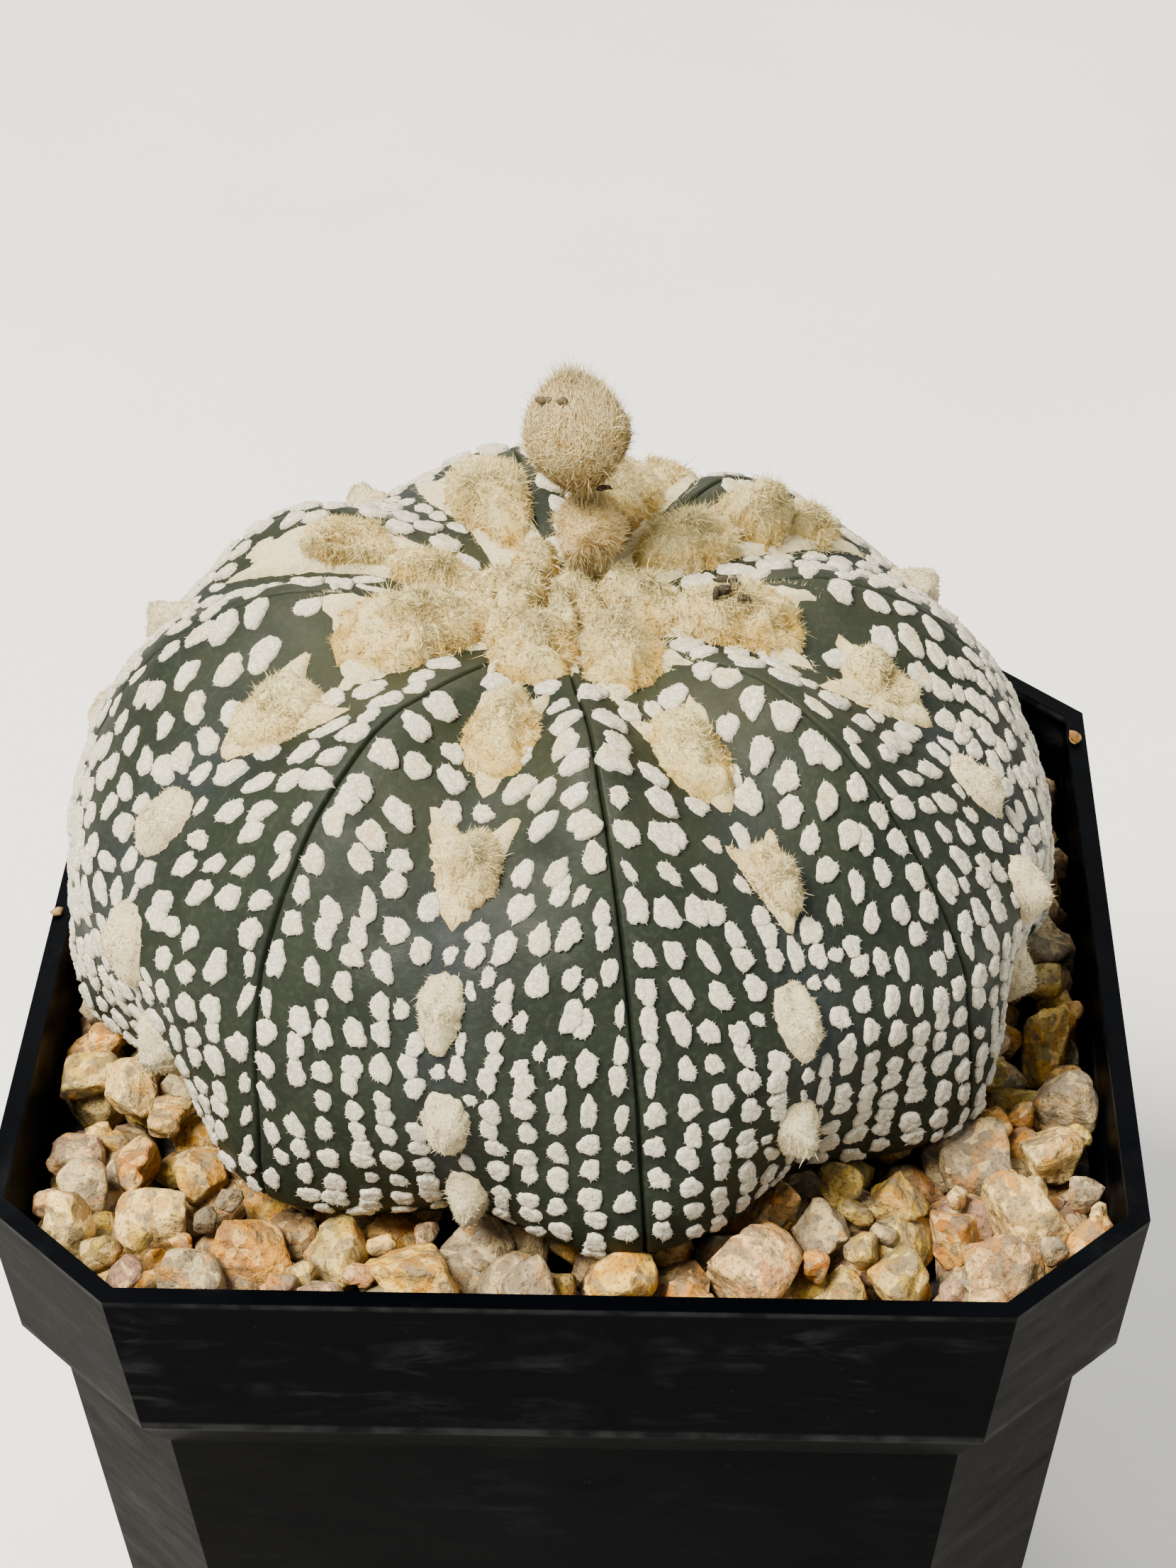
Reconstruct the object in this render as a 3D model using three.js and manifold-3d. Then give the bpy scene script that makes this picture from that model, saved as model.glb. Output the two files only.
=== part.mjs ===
// Potted star cactus with dense white flecks, in a square black nursery pot.
// Millimetres, +Z up. The origin is the middle of the pot's resting face.

import * as THREE from 'three';
import { mergeVertices } from 'three/addons/utils/BufferGeometryUtils.js';
import Module from 'manifold-3d';

const wasm = await Module();
wasm.setup();

// Pot
const POT_HEIGHT = 76;
const RIM_WIDTH = 85;
const RIM_CUT = 10.2;
const LIP_WIDTH = 1.5;
const COLLAR_HEIGHT = 13.9;
const COLLAR_FOOT_WIDTH = 82.4;
const COLLAR_FOOT_CUT = 10.5;
const SHOULDER_HEIGHT = 4;
const BODY_TOP_WIDTH = 77;
const BODY_TOP_CUT = 9.3;
const BASE_WIDTH = 66;
const BASE_CUT = 9.6;
const WALL = 1.2;
const FLOOR = 1.6;
const CHANNEL_DEPTH = 1.2;
const CHANNEL_WIDTH = 14;
const DRAIN_RADIUS = 3;
const DRAIN_SPACING = 20;
const DRAIN_SIDES = 8;
const OVERRUN = 1; // how far a cutter runs past a face

// Fill
const GAP = 0.3;
const ROOM_SLACK = 0.35;
const ROOM_LINES = 6;
const ROOM_ROWS = 14;
const MIX_TOP = POT_HEIGHT - 9.6;
const GRIT_BED_TOP = POT_HEIGHT - 5.2;
const STONE_PITCH = 6.6;
const STONE_JITTER = 2;
const STONE_SIZE = [5, 8];
const STONE_BREADTH = [0.7, 1];
const STONE_THICKNESS = [0.65, 0.9];
const STONE_KNOCK = [0.8, 1.15];
const STONE_LIFT = [-1, 0.4];
const STONE_SPREAD = 38.5;
const STONE_CORNER_SPREAD = 70;
const STONES_FROM = 0.84; // share of the plant's radius where the stones under it end
const STONE_SEED = 11;

// Plant envelope
const AXIS_BASE = [-0.5, 0.5];
const AXIS_TOP = [-1.4, 0.1];
const BODY_RADIUS = 38;
const CROWN_HEIGHT = POT_HEIGHT + 31;
const WAIST_HEIGHT = POT_HEIGHT + 12.4;
const GRIT_LINE = POT_HEIGHT - 1;
const SHOULDER_POWER = 0.68;
const CROWN_POWER = 1.33;
const FOOT_RATIO = 0.933;
const UPPER_SHARE = 0.62;
const LOPSIDED = 0.043;
const LOPSIDED_TOWARDS = 3.49;

// Ribs
const RIBS = 8;
const RIB_ANGLE = (2 * Math.PI) / RIBS;
const FIRST_SUTURE = 0.178;
const FOOT_LOBES = 0.066;
const SUTURE_RISE = 3.4;
const SUTURE_TUCK = 0.045;
const SUTURE_FADE_IN = [0, 0.2];
const SUTURE_FADE_OUT = [0.3, 0.75];
const LOBES_FADE_IN = [0.55, 1];
const RIDGE_SHARPNESS = 1.5;
const LEAN = 0.21; // turn of the upper part of the ribs at the left side, which grew unevenly
const LEAN_CENTRE = 4.86;
const LEAN_SPREAD = 0.52;
const LEAN_FADE_OUT = [0.47, 0.76];
const CROWN_DIP = 1.2;
const CROWN_DIP_RADIUS = 9.5;
const CREASE_DEPTH = 1;
const CREASE_HALF_WIDTH = 0.8;
const CREASE_FADE_IN = [3, 9];

// Underside and root
const UNDERSIDE = [[0.84, 4.2], [0.6, 7.2]];
const ROOT_RADII = [[7.2, 5], [6.8, 9.4], [6.3, 14], [5.6, 20], [4.3, 29], [2.6, 37], [0.9, 42]];
const ROOT_SIDES = 10;

// Flecks
const PLAIN_ROWS = [3.7, 6.4];
const FLECK_START = 9.5;
const FLECK_ROWS = 13;
const FLECK_COLUMNS = 8;
const FLECK_CORNERS = 6;
const FLECK_HEIGHT = 0.7;
const FLECK_REACH = [0.72, 0.95];
const FLECK_TURN = [-0.25, 0.25];
const FLECK_CHANCE = 0.97;
const STRAY_CHANCE = 0.1;
const FLECK_SEED = 5;

// Areole tufts: where each rib's free tufts stand, measured along the rib from the crown
const TUFT_DISTANCES = [
  [14.8, 27.4, 38.8, 48], [19.3, 31, 41.6, 51], [24.8, 35.6, 45.5], [36, 46],
  [31.5, 42], [32, 42.5], [34.5, 45], [22.6, 34.6, 44.5],
];
const TUFT_HEIGHT = 2.6;
const TUFT_TOP_SHARE = 0.55;
const TUFT_SHOULDER = 0.82;
const TUFT_SINK = 0.8;
const HORNED_UNTIL = 28;

// Outlines across and down the skin: young tufts have two horns uphill, old ones are oval
const HORNED_OUTLINE = [
  [0, -2.8], [-4, -4.4], [-2.7, 0.2], [-1.2, 3.8], [0, 5.8], [1.2, 3.8], [2.7, 0.2], [4, -4.4],
];
const OVAL_OUTLINE = [[0, -3.2], [-1.9, -1.6], [-1.9, 1.6], [0, 3.2], [1.9, 1.6], [1.9, -1.6]];

// Crown wool: how far each rib's arm runs out from the growing point
const ARM_REACH = [8, 12.5, 19.5, 29, 25, 25.5, 28.5, 17.5];
const ARM_START = 2;
const ARM_ROW_LENGTH = 3.6;
const ARM_HALF_WIDTH = 3;
const ARM_RAGGED = [0.92, 1.08];
const ARM_THICKNESS = 3;
const ARM_UNEVEN = [0.85, 1.15];
const ARM_SINK = 0.6;
const ARM_END_MARGIN = 2.4;
const HORNS_FROM = 14; // arms that reach farther than this end in two horns
const HORNS_SCALE = 1.25;
const HORNS_SETBACK = 5.2;
const WOOL_RADIUS = 7.6;
const WOOL_HEIGHT = 3.9;
const WOOL_CORE_SIDES = 16;
const LUMP_RINGS = [[0, 1], [3.6, 5], [6.4, 8]]; // distance from the growing point, and count
const LUMP_SIZE = [2.6, 3.2];
const LUMP_WIDTH = 1.15;
const LUMP_FLATNESS = 0.85;
const WOOL_SEED = 3;

// Flower bud
const BUD_FOOT = [0.9, 3.6, POT_HEIGHT + 35.8];
const BUD_FOOT_RADIUS = 3.2;
const BUD_FOOT_STRETCH = 1.2;
const BUD_TIP = [-0.3, 4, POT_HEIGHT + 48.6];
const BUD_LENGTH = 9.9;
const BUD_RADIUS = 4;
const BUD_LEVELS = 9;
const BUD_SIDES = 12;
const BUD_SHARES = [0.04, 0.96]; // lowest and highest loop along the egg
const BUD_FOLDS = 0.04;
const BUD_RAGGED = 0.025;
const BUD_SEED = 8;

const UP = new THREE.Vector3(0, 0, 1);

// Seeded random numbers, so that each build is the same
function randomSource(seed) {
  let state = seed;
  return () => {
    state = (Math.imul(state, 1664525) + 1013904223) >>> 0;
    return state / 4294967296;
  };
}

function pick(range, random) {
  return THREE.MathUtils.lerp(range[0], range[1], random());
}

function fade(range, value) {
  return THREE.MathUtils.smoothstep(value, range[0], range[1]);
}

// Geometry from plain points and triangles
function geometryFrom(points, triangles) {
  const geometry = new THREE.BufferGeometry();
  const flat = points.flatMap((point) => [point.x, point.y, point.z]);
  geometry.setAttribute('position', new THREE.Float32BufferAttribute(flat, 3));
  geometry.setIndex(triangles.flat());
  return geometry;
}

// Closed solid from a stack of loops that run anticlockwise seen from above, lowest first
function stackLoops(loops) {
  const count = loops[0].length;
  const triangles = [];
  for (let level = 0; level + 1 < loops.length; level += 1) {
    for (let i = 0; i < count; i += 1) {
      const next = (i + 1) % count;
      const low = level * count;
      const high = low + count;
      triangles.push([low + i, low + next, high + next]);
      triangles.push([low + i, high + next, high + i]);
    }
  }
  const top = (loops.length - 1) * count;
  for (let i = 1; i + 1 < count; i += 1) {
    triangles.push([0, i + 1, i]);
    triangles.push([top, top + i, top + i + 1]);
  }
  return geometryFrom(loops.flat(), triangles);
}

function toManifold(source) {
  const bare = source.clone();
  bare.deleteAttribute('normal');
  bare.deleteAttribute('uv');
  const welded = mergeVertices(bare);
  const vertProperties = new Float32Array(welded.attributes.position.array);
  const triVerts = new Uint32Array(welded.index.array);
  return new wasm.Manifold(new wasm.Mesh({ numProp: 3, vertProperties, triVerts }));
}

function toGeometry(solid) {
  const mesh = solid.getMesh();
  const geometry = new THREE.BufferGeometry();
  const positions = new THREE.Float32BufferAttribute(mesh.vertProperties, 3);
  geometry.setAttribute('position', positions);
  geometry.setIndex(new THREE.Uint32BufferAttribute(mesh.triVerts, 1));
  return geometry;
}

function joinAll(solids) {
  return solids.reduce((whole, solid) => whole.add(solid));
}

// Main body of a solid, without loose scraps and with sealed hollows filled
function mainBody(solid) {
  const bodies = solid.decompose();
  return bodies.reduce((best, body) => (body.volume() > best.volume() ? body : best));
}

// Square with cut corners
function octagon(width, cut, height) {
  const side = width / 2;
  const flat = side - cut;
  const corners = [
    [-flat, -side], [flat, -side], [side, -flat], [side, flat],
    [flat, side], [-flat, side], [-side, flat], [-side, -flat],
  ];
  return corners.map(([x, y]) => new THREE.Vector3(x, y, height));
}

// Cut corners shorten as an octagon is drawn in by a wall's thickness
function innerOctagon(width, cut, inset, height) {
  return octagon(width - 2 * inset, cut - inset * (2 - Math.SQRT2), height);
}

const COLLAR_FOOT = POT_HEIGHT - COLLAR_HEIGHT;
const BODY_TOP = COLLAR_FOOT - SHOULDER_HEIGHT;

// The hollow of the pot between two heights, drawn in by the wall and any extra clearance
function cavity(clearance, bottom, top) {
  const inset = WALL + clearance;
  const lip = LIP_WIDTH + clearance;
  const levels = [
    [0, BASE_WIDTH, BASE_CUT, inset],
    [BODY_TOP - WALL / 2, BODY_TOP_WIDTH, BODY_TOP_CUT, inset],
    [COLLAR_FOOT, COLLAR_FOOT_WIDTH, COLLAR_FOOT_CUT, inset],
    [POT_HEIGHT, RIM_WIDTH, RIM_CUT, lip],
    [POT_HEIGHT + OVERRUN, RIM_WIDTH, RIM_CUT, lip],
  ];
  const levelAt = (height) => {
    const upper = levels.findIndex((level) => level[0] >= height);
    const [low, high] = [levels[upper - 1], levels[upper]];
    const share = (height - low[0]) / (high[0] - low[0]);
    return low.map((value, i) => THREE.MathUtils.lerp(value, high[i], share));
  };
  const between = levels.filter(([height]) => height > bottom && height < top);
  const loops = [levelAt(bottom), ...between, levelAt(top)].map(
    ([height, width, cut, depth]) => innerOctagon(width, cut, depth, height),
  );
  return toManifold(stackLoops(loops));
}

// Two crossing bars as long as the pot is wide, from below its base up to a height
function cross(width, top) {
  const bar = new THREE.BoxGeometry(RIM_WIDTH, width, top + OVERRUN);
  bar.translate(0, 0, (top - OVERRUN) / 2);
  const otherBar = bar.clone().rotateZ(Math.PI / 2);
  return toManifold(bar).add(toManifold(otherBar));
}

function makePot() {
  const outside = stackLoops([
    octagon(BASE_WIDTH, BASE_CUT, 0),
    octagon(BODY_TOP_WIDTH, BODY_TOP_CUT, BODY_TOP),
    octagon(COLLAR_FOOT_WIDTH, COLLAR_FOOT_CUT, COLLAR_FOOT),
    octagon(RIM_WIDTH, RIM_CUT, POT_HEIGHT),
  ]);
  // A cross-shaped channel under the base leaves four feet, and stands up inside as a ridge
  const ridgeTop = FLOOR + CHANNEL_DEPTH;
  const ridgeWidth = CHANNEL_WIDTH + 2 * WALL;
  const ridges = cross(ridgeWidth, ridgeTop);
  const hollow = cavity(0, FLOOR, POT_HEIGHT + OVERRUN).subtract(ridges);
  let pot = toManifold(outside).subtract(hollow).subtract(cross(CHANNEL_WIDTH, CHANNEL_DEPTH));
  for (const x of [-1, 0, 1]) {
    for (const y of [-1, 0, 1]) {
      const drill = new THREE.CylinderGeometry(DRAIN_RADIUS, DRAIN_RADIUS, 4 * FLOOR, DRAIN_SIDES);
      drill.rotateX(Math.PI / 2);
      drill.translate(x * DRAIN_SPACING, y * DRAIN_SPACING, FLOOR);
      pot = pot.subtract(toManifold(drill));
    }
  }
  return toGeometry(pot);
}

// Meridian of the plant's envelope: share 0 is the growing point and 1 the grit line
function envelope(share) {
  const turn = (Math.min(share / UPPER_SHARE, 1) * Math.PI) / 2;
  if (share <= UPPER_SHARE) {
    const radius = BODY_RADIUS * Math.sin(turn) ** SHOULDER_POWER;
    const rise = Math.max(Math.cos(turn), 0) ** CROWN_POWER;
    return [radius, WAIST_HEIGHT + (CROWN_HEIGHT - WAIST_HEIGHT) * rise];
  }
  const drop = (share - UPPER_SHARE) / (1 - UPPER_SHARE);
  const radius = BODY_RADIUS * (1 - (1 - FOOT_RATIO) * drop ** 2);
  return [radius, WAIST_HEIGHT + (GRIT_LINE - WAIST_HEIGHT) * Math.sin((drop * Math.PI) / 2)];
}

// Distances along the meridian, so that rows can be spaced in real millimetres
const MERIDIAN_STEPS = 400;
const meridianLengths = [0];
for (let i = 1; i <= MERIDIAN_STEPS; i += 1) {
  const [r0, z0] = envelope((i - 1) / MERIDIAN_STEPS);
  const [r1, z1] = envelope(i / MERIDIAN_STEPS);
  meridianLengths.push(meridianLengths[i - 1] + Math.hypot(r1 - r0, z1 - z0));
}
const MERIDIAN_LENGTH = meridianLengths[MERIDIAN_STEPS];

function shareAt(distance) {
  const wanted = Math.min(Math.max(distance, 0), MERIDIAN_LENGTH);
  let i = 1;
  while (i < MERIDIAN_STEPS && meridianLengths[i] < wanted) {
    i += 1;
  }
  const step = meridianLengths[i] - meridianLengths[i - 1];
  return (i - 1 + (wanted - meridianLengths[i - 1]) / step) / MERIDIAN_STEPS;
}

// How far the ribs near one side lean out of their even places
function leanAt(direction, share) {
  const turn = direction - LEAN_CENTRE;
  const away = Math.atan2(Math.sin(turn), Math.cos(turn));
  return LEAN * Math.exp(-((away / LEAN_SPREAD) ** 2)) * (1 - fade(LEAN_FADE_OUT, share));
}

// Point at a direction (0 is -Y, a quarter turn is +X) with a radius and height of the envelope
function lobedPoint(direction, radius, height, share, lobeFade) {
  const leaned = direction - leanAt(direction, share);
  const wave = Math.cos(RIBS * (direction - FIRST_SUTURE));
  const ridge = ((1 + wave) / 2) ** RIDGE_SHARPNESS;
  const upper = fade(SUTURE_FADE_IN, share) * (1 - fade(SUTURE_FADE_OUT, share));
  const lobes = FOOT_LOBES * fade(LOBES_FADE_IN, share) * lobeFade;
  const lopsided = LOPSIDED * Math.cos(leaned - LOPSIDED_TOWARDS);
  const dip = CROWN_DIP * Math.exp(-((radius / CROWN_DIP_RADIUS) ** 2));
  const z = height + SUTURE_RISE * upper * ridge - dip;
  const r = radius * (1 + lopsided + lobes * wave) * (1 - SUTURE_TUCK * upper * ridge);
  const climb = THREE.MathUtils.clamp((z - GRIT_LINE) / (CROWN_HEIGHT - GRIT_LINE), 0, 1);
  const x = THREE.MathUtils.lerp(AXIS_BASE[0], AXIS_TOP[0], climb);
  const y = THREE.MathUtils.lerp(AXIS_BASE[1], AXIS_TOP[1], climb);
  return new THREE.Vector3(x + r * Math.sin(leaned), y - r * Math.cos(leaned), z);
}

function skinPoint(direction, distance) {
  const share = shareAt(distance);
  const [radius, height] = envelope(share);
  return lobedPoint(direction, radius, height, share, 1);
}

function skinNormal(direction, distance) {
  const step = 0.4;
  const from = Math.min(Math.max(distance, 2 * step), MERIDIAN_LENGTH - step);
  const turn = step / Math.max(envelope(shareAt(from))[0], 1);
  const across = skinPoint(direction + turn, from).sub(skinPoint(direction - turn, from));
  const down = skinPoint(direction, from + step).sub(skinPoint(direction, from - step));
  return across.cross(down).normalize().negate();
}

// Point on the plant's skin, raised from it or sunk into it
function onSkin(direction, distance, raise) {
  return skinPoint(direction, distance).addScaledVector(skinNormal(direction, distance), raise);
}

const sutureDirection = (rib) => FIRST_SUTURE + rib * RIB_ANGLE;
const areoleDirection = (rib) => FIRST_SUTURE + (rib - 0.5) * RIB_ANGLE;

// Lines down the skin: a suture, its two lips, and the edges of the fleck columns between them
const LINES_PER_RIB = FLECK_COLUMNS + 2;

function lineDirection(line, distance) {
  const rib = Math.floor(line / LINES_PER_RIB);
  const place = line % LINES_PER_RIB;
  const radius = Math.max(envelope(shareAt(distance))[0], 1);
  const lip = Math.min(CREASE_HALF_WIDTH / radius, RIB_ANGLE / 8);
  if (place === 0) {
    return sutureDirection(rib);
  }
  const column = (RIB_ANGLE - 2 * lip) / FLECK_COLUMNS;
  return sutureDirection(rib) + lip + (place - 1) * column;
}

// Half the width of a crown wool arm, which flares towards its end and then narrows
function armHalfWidth(share) {
  return ARM_HALF_WIDTH * (1 + 0.3 * fade([0.5, 0.8], share) - 0.4 * fade([0.85, 1], share));
}

// Whether a fleck at a place on the skin would lie under the crown wool
function underWool(direction, distance) {
  if (distance < WOOL_RADIUS + ARM_END_MARGIN) {
    return true;
  }
  const radius = envelope(shareAt(distance))[0];
  const fleckHalfWidth = (FLECK_REACH[1] * radius * RIB_ANGLE) / (2 * FLECK_COLUMNS);
  return ARM_REACH.some((reach, rib) => {
    const turn = direction - areoleDirection(rib);
    const across = Math.abs(Math.sin(turn)) * radius;
    const horns = reach > HORNS_FROM && distance > reach - 2 * HORNS_SETBACK ? 4 * HORNS_SCALE : 0;
    const half = Math.max(armHalfWidth(Math.min(distance / reach, 1)) * ARM_RAGGED[1], horns);
    return Math.cos(turn) > 0 && across < half + fleckHalfWidth && distance < reach + ARM_END_MARGIN;
  });
}

// Points round the underside, at the same directions as the skin's last row
function undersideRows(directions, raise) {
  return UNDERSIDE.map(([ratio, depth]) => directions.map((direction) => {
    const radius = BODY_RADIUS * FOOT_RATIO * ratio + raise;
    return lobedPoint(direction, radius, POT_HEIGHT - depth - raise, 1, ratio ** 2);
  }));
}

// Closed solid from a pole and rows of points below it; cells may be given their own triangles
function closeRows(pole, rows, cellTriangles) {
  const count = rows[0].length;
  const points = [pole, ...rows.flat()];
  const triangles = [];
  const at = (row, line) => 1 + row * count + (line % count);
  for (let line = 0; line < count; line += 1) {
    triangles.push([0, at(0, line), at(0, line + 1)]);
  }
  for (let row = 0; row + 1 < rows.length; row += 1) {
    for (let line = 0; line < count; line += 1) {
      const corners = [at(row, line + 1), at(row, line), at(row + 1, line), at(row + 1, line + 1)];
      const plain = [[corners[0], corners[1], corners[2]], [corners[0], corners[2], corners[3]]];
      triangles.push(...(cellTriangles(row, line, corners, points) ?? plain));
    }
  }
  const last = at(rows.length - 1, 0);
  for (let i = 1; i + 1 < count; i += 1) {
    triangles.push([last, last + i + 1, last + i]);
  }
  return toManifold(geometryFrom(points, triangles));
}

// Plant skin as rows of cells, each fleck a raised six-sided pad inside its cell
function makeSkin() {
  const random = randomSource(FLECK_SEED);
  const lines = Array.from({ length: RIBS * LINES_PER_RIB }, (unused, line) => line);
  const rowLength = (MERIDIAN_LENGTH - FLECK_START) / FLECK_ROWS;
  const distances = [...PLAIN_ROWS];
  for (let row = 0; row <= FLECK_ROWS; row += 1) {
    distances.push(FLECK_START + row * rowLength);
  }
  const rows = distances.map((distance) => lines.map((line) => {
    const crease = line % LINES_PER_RIB === 0 ? CREASE_DEPTH * fade(CREASE_FADE_IN, distance) : 0;
    return onSkin(lineDirection(line, distance), distance, -crease);
  }));
  rows.push(...undersideRows(lines.map((line) => lineDirection(line, MERIDIAN_LENGTH)), 0));
  return closeRows(onSkin(0, 0, 0), rows, (row, line, corners, points) => {
    const place = line % LINES_PER_RIB;
    const inColumn = place > 0 && place <= FLECK_COLUMNS;
    const inRow = row >= PLAIN_ROWS.length && row + 1 < distances.length;
    const chance = (row + place) % 2 ? FLECK_CHANCE : STRAY_CHANCE;
    if (!inColumn || !inRow || random() > chance) {
      return null;
    }
    const pad = fleckPad(line, distances[row], distances[row + 1], random);
    points.push(...pad);
    return pad.length ? padTriangles(corners, points.length - pad.length) : null;
  });
}

// Space kept free for the plant in what lies on it or round it, a little larger than its skin
function plantRoom(raise) {
  const count = RIBS * ROOM_LINES;
  const turn = (2 * Math.PI) / count;
  const directions = Array.from({ length: count }, (unused, i) => FIRST_SUTURE + i * turn);
  const rows = [];
  for (let row = 1; row <= ROOM_ROWS; row += 1) {
    const distance = (MERIDIAN_LENGTH * row) / ROOM_ROWS;
    rows.push(directions.map((direction) => onSkin(direction, distance, raise)));
  }
  rows.push(...undersideRows(directions, raise));
  return closeRows(onSkin(0, 0, raise), rows, () => null);
}

// Raised corners of one fleck, or none where the crown wool lies
function fleckPad(line, top, bottom, random) {
  const middle = (top + bottom) / 2;
  const left = lineDirection(line, middle);
  const right = lineDirection(line + 1, middle);
  const direction = (left + right) / 2;
  if (underWool(direction, middle)) {
    return [];
  }
  const turn = pick(FLECK_TURN, random);
  const corners = [];
  for (let i = 0; i < FLECK_CORNERS; i += 1) {
    const angle = (2 * Math.PI * i) / FLECK_CORNERS + turn;
    const reach = pick(FLECK_REACH, random);
    const across = (Math.cos(angle) * reach * (right - left)) / 2;
    const along = (-Math.sin(angle) * reach * (bottom - top)) / 2;
    corners.push(onSkin(direction + across, middle + along, FLECK_HEIGHT));
  }
  return corners;
}

// Triangles between a cell's corners and its pad, and the pad's top
function padTriangles([c0, c1, c2, c3], first) {
  const [h0, h1, h2, h3, h4, h5] = [0, 1, 2, 3, 4, 5].map((i) => first + i);
  return [
    [c3, c0, h0], [c0, h1, h0], [c0, c1, h2], [c0, h2, h1], [c1, h3, h2],
    [c1, c2, h3], [c2, h4, h3], [c2, c3, h5], [c2, h5, h4], [c3, h0, h5],
    [h0, h1, h2], [h0, h2, h3], [h0, h3, h4], [h0, h4, h5],
  ];
}

// Raised woolly cushion with its outline given across and down the skin from its middle
function cushion(direction, distance, outline, scale, height) {
  const radius = envelope(shareAt(distance))[0];
  const place = (x, y, raise) => onSkin(direction + (x * scale) / radius, distance + y * scale, raise);
  const count = outline.length;
  const share = TUFT_TOP_SHARE;
  const points = outline.map(([x, y]) => place(x, y, -TUFT_SINK));
  points.push(...outline.map(([x, y]) => place(x * share, y * share, height * TUFT_SHOULDER)));
  points.push(place(0, 0, height));
  points.push(place(0, 0, -TUFT_SINK));
  const triangles = [];
  for (let i = 0; i < count; i += 1) {
    const next = (i + 1) % count;
    triangles.push([i, next, count + next], [i, count + next, count + i]);
    triangles.push([count + i, count + next, 2 * count], [next, i, 2 * count + 1]);
  }
  return toManifold(geometryFrom(points, triangles));
}

function makeTufts(clearance) {
  const tufts = [];
  const scale = 1 + clearance / OVAL_OUTLINE[4][0];
  const height = TUFT_HEIGHT + clearance;
  TUFT_DISTANCES.forEach((distances, rib) => {
    for (const distance of distances) {
      const outline = distance < HORNED_UNTIL ? HORNED_OUTLINE : OVAL_OUTLINE;
      tufts.push(cushion(areoleDirection(rib), distance, outline, scale, height));
    }
  });
  return tufts;
}

// Taproot, sunk into the underside of the plant
function makeRoot(clearance) {
  const loops = [...ROOT_RADII].reverse().map(([radius, depth]) => {
    const loop = [];
    for (let i = 0; i < ROOT_SIDES; i += 1) {
      const angle = (2 * Math.PI * i) / ROOT_SIDES;
      const reach = radius + clearance;
      const x = AXIS_BASE[0] + reach * Math.cos(angle);
      const y = AXIS_BASE[1] + reach * Math.sin(angle);
      loop.push(new THREE.Vector3(x, y, POT_HEIGHT - depth - clearance));
    }
    return loop;
  });
  return stackLoops(loops);
}

function makeCactus() {
  return toGeometry(mainBody(joinAll([makeSkin(), ...makeTufts(0), toManifold(makeRoot(0))])));
}

// One arm of the crown wool, lying along an areole line; a long one ends in two horns
function woolArm(rib, random) {
  const reach = ARM_REACH[rib];
  const direction = areoleDirection(rib);
  const rows = Math.max(3, Math.round(reach / ARM_ROW_LENGTH));
  const loops = [];
  for (let row = 0; row <= rows; row += 1) {
    const share = row / rows;
    const distance = THREE.MathUtils.lerp(ARM_START, reach, share);
    const halfWidth = armHalfWidth(share) * pick(ARM_RAGGED, random);
    const thick = ARM_THICKNESS * pick(ARM_UNEVEN, random) * (1 - 0.45 * fade([0.8, 1], share));
    const radius = Math.max(envelope(shareAt(distance))[0], ARM_START);
    const place = (x, raise) => onSkin(direction + x / radius, distance, raise);
    const [shoulderX, shoulderZ] = [halfWidth * 0.72, thick * 0.78];
    loops.push([
      place(halfWidth, -ARM_SINK), place(shoulderX, shoulderZ), place(0, thick),
      place(-shoulderX, shoulderZ), place(-halfWidth, -ARM_SINK),
    ]);
  }
  const arm = toManifold(stackLoops(loops));
  if (reach < HORNS_FROM) {
    return arm;
  }
  return arm.add(cushion(direction, reach - HORNS_SETBACK, HORNED_OUTLINE, HORNS_SCALE, ARM_THICKNESS));
}

// Crown wool: a lumpy cushion over the growing point with an arm along each areole line
function makeWool() {
  const random = randomSource(WOOL_SEED);
  const arms = ARM_REACH.map((reach, rib) => woolArm(rib, random));
  const lumps = [];
  for (const [ring, count] of LUMP_RINGS) {
    for (let i = 0; i < count; i += 1) {
      const direction = (2 * Math.PI * (i + 0.3 * ring)) / count;
      const size = pick(LUMP_SIZE, random);
      const lump = new THREE.IcosahedronGeometry(size, 0);
      lump.scale(LUMP_WIDTH, LUMP_WIDTH, LUMP_FLATNESS);
      const seat = skinPoint(direction, ring);
      lump.translate(seat.x, seat.y, seat.z + WOOL_HEIGHT - size * LUMP_FLATNESS - ring * 0.12);
      lumps.push(toManifold(lump));
    }
  }
  const core = new THREE.CylinderGeometry(WOOL_RADIUS - 2, WOOL_RADIUS - 1, WOOL_HEIGHT, WOOL_CORE_SIDES);
  core.rotateX(Math.PI / 2);
  core.translate(...AXIS_TOP, skinPoint(0, 0).z + ARM_SINK);
  const wool = joinAll([toManifold(core), ...arms, ...lumps]);
  const room = joinAll([plantRoom(GAP + ROOM_SLACK), toManifold(budFoot(GAP)), ...makeTufts(GAP)]);
  return toGeometry(mainBody(wool.subtract(room)));
}

function budFoot(clearance) {
  const foot = new THREE.IcosahedronGeometry(BUD_FOOT_RADIUS + clearance, 1);
  foot.scale(1, 1, BUD_FOOT_STRETCH);
  foot.translate(...BUD_FOOT);
  return foot;
}

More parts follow.
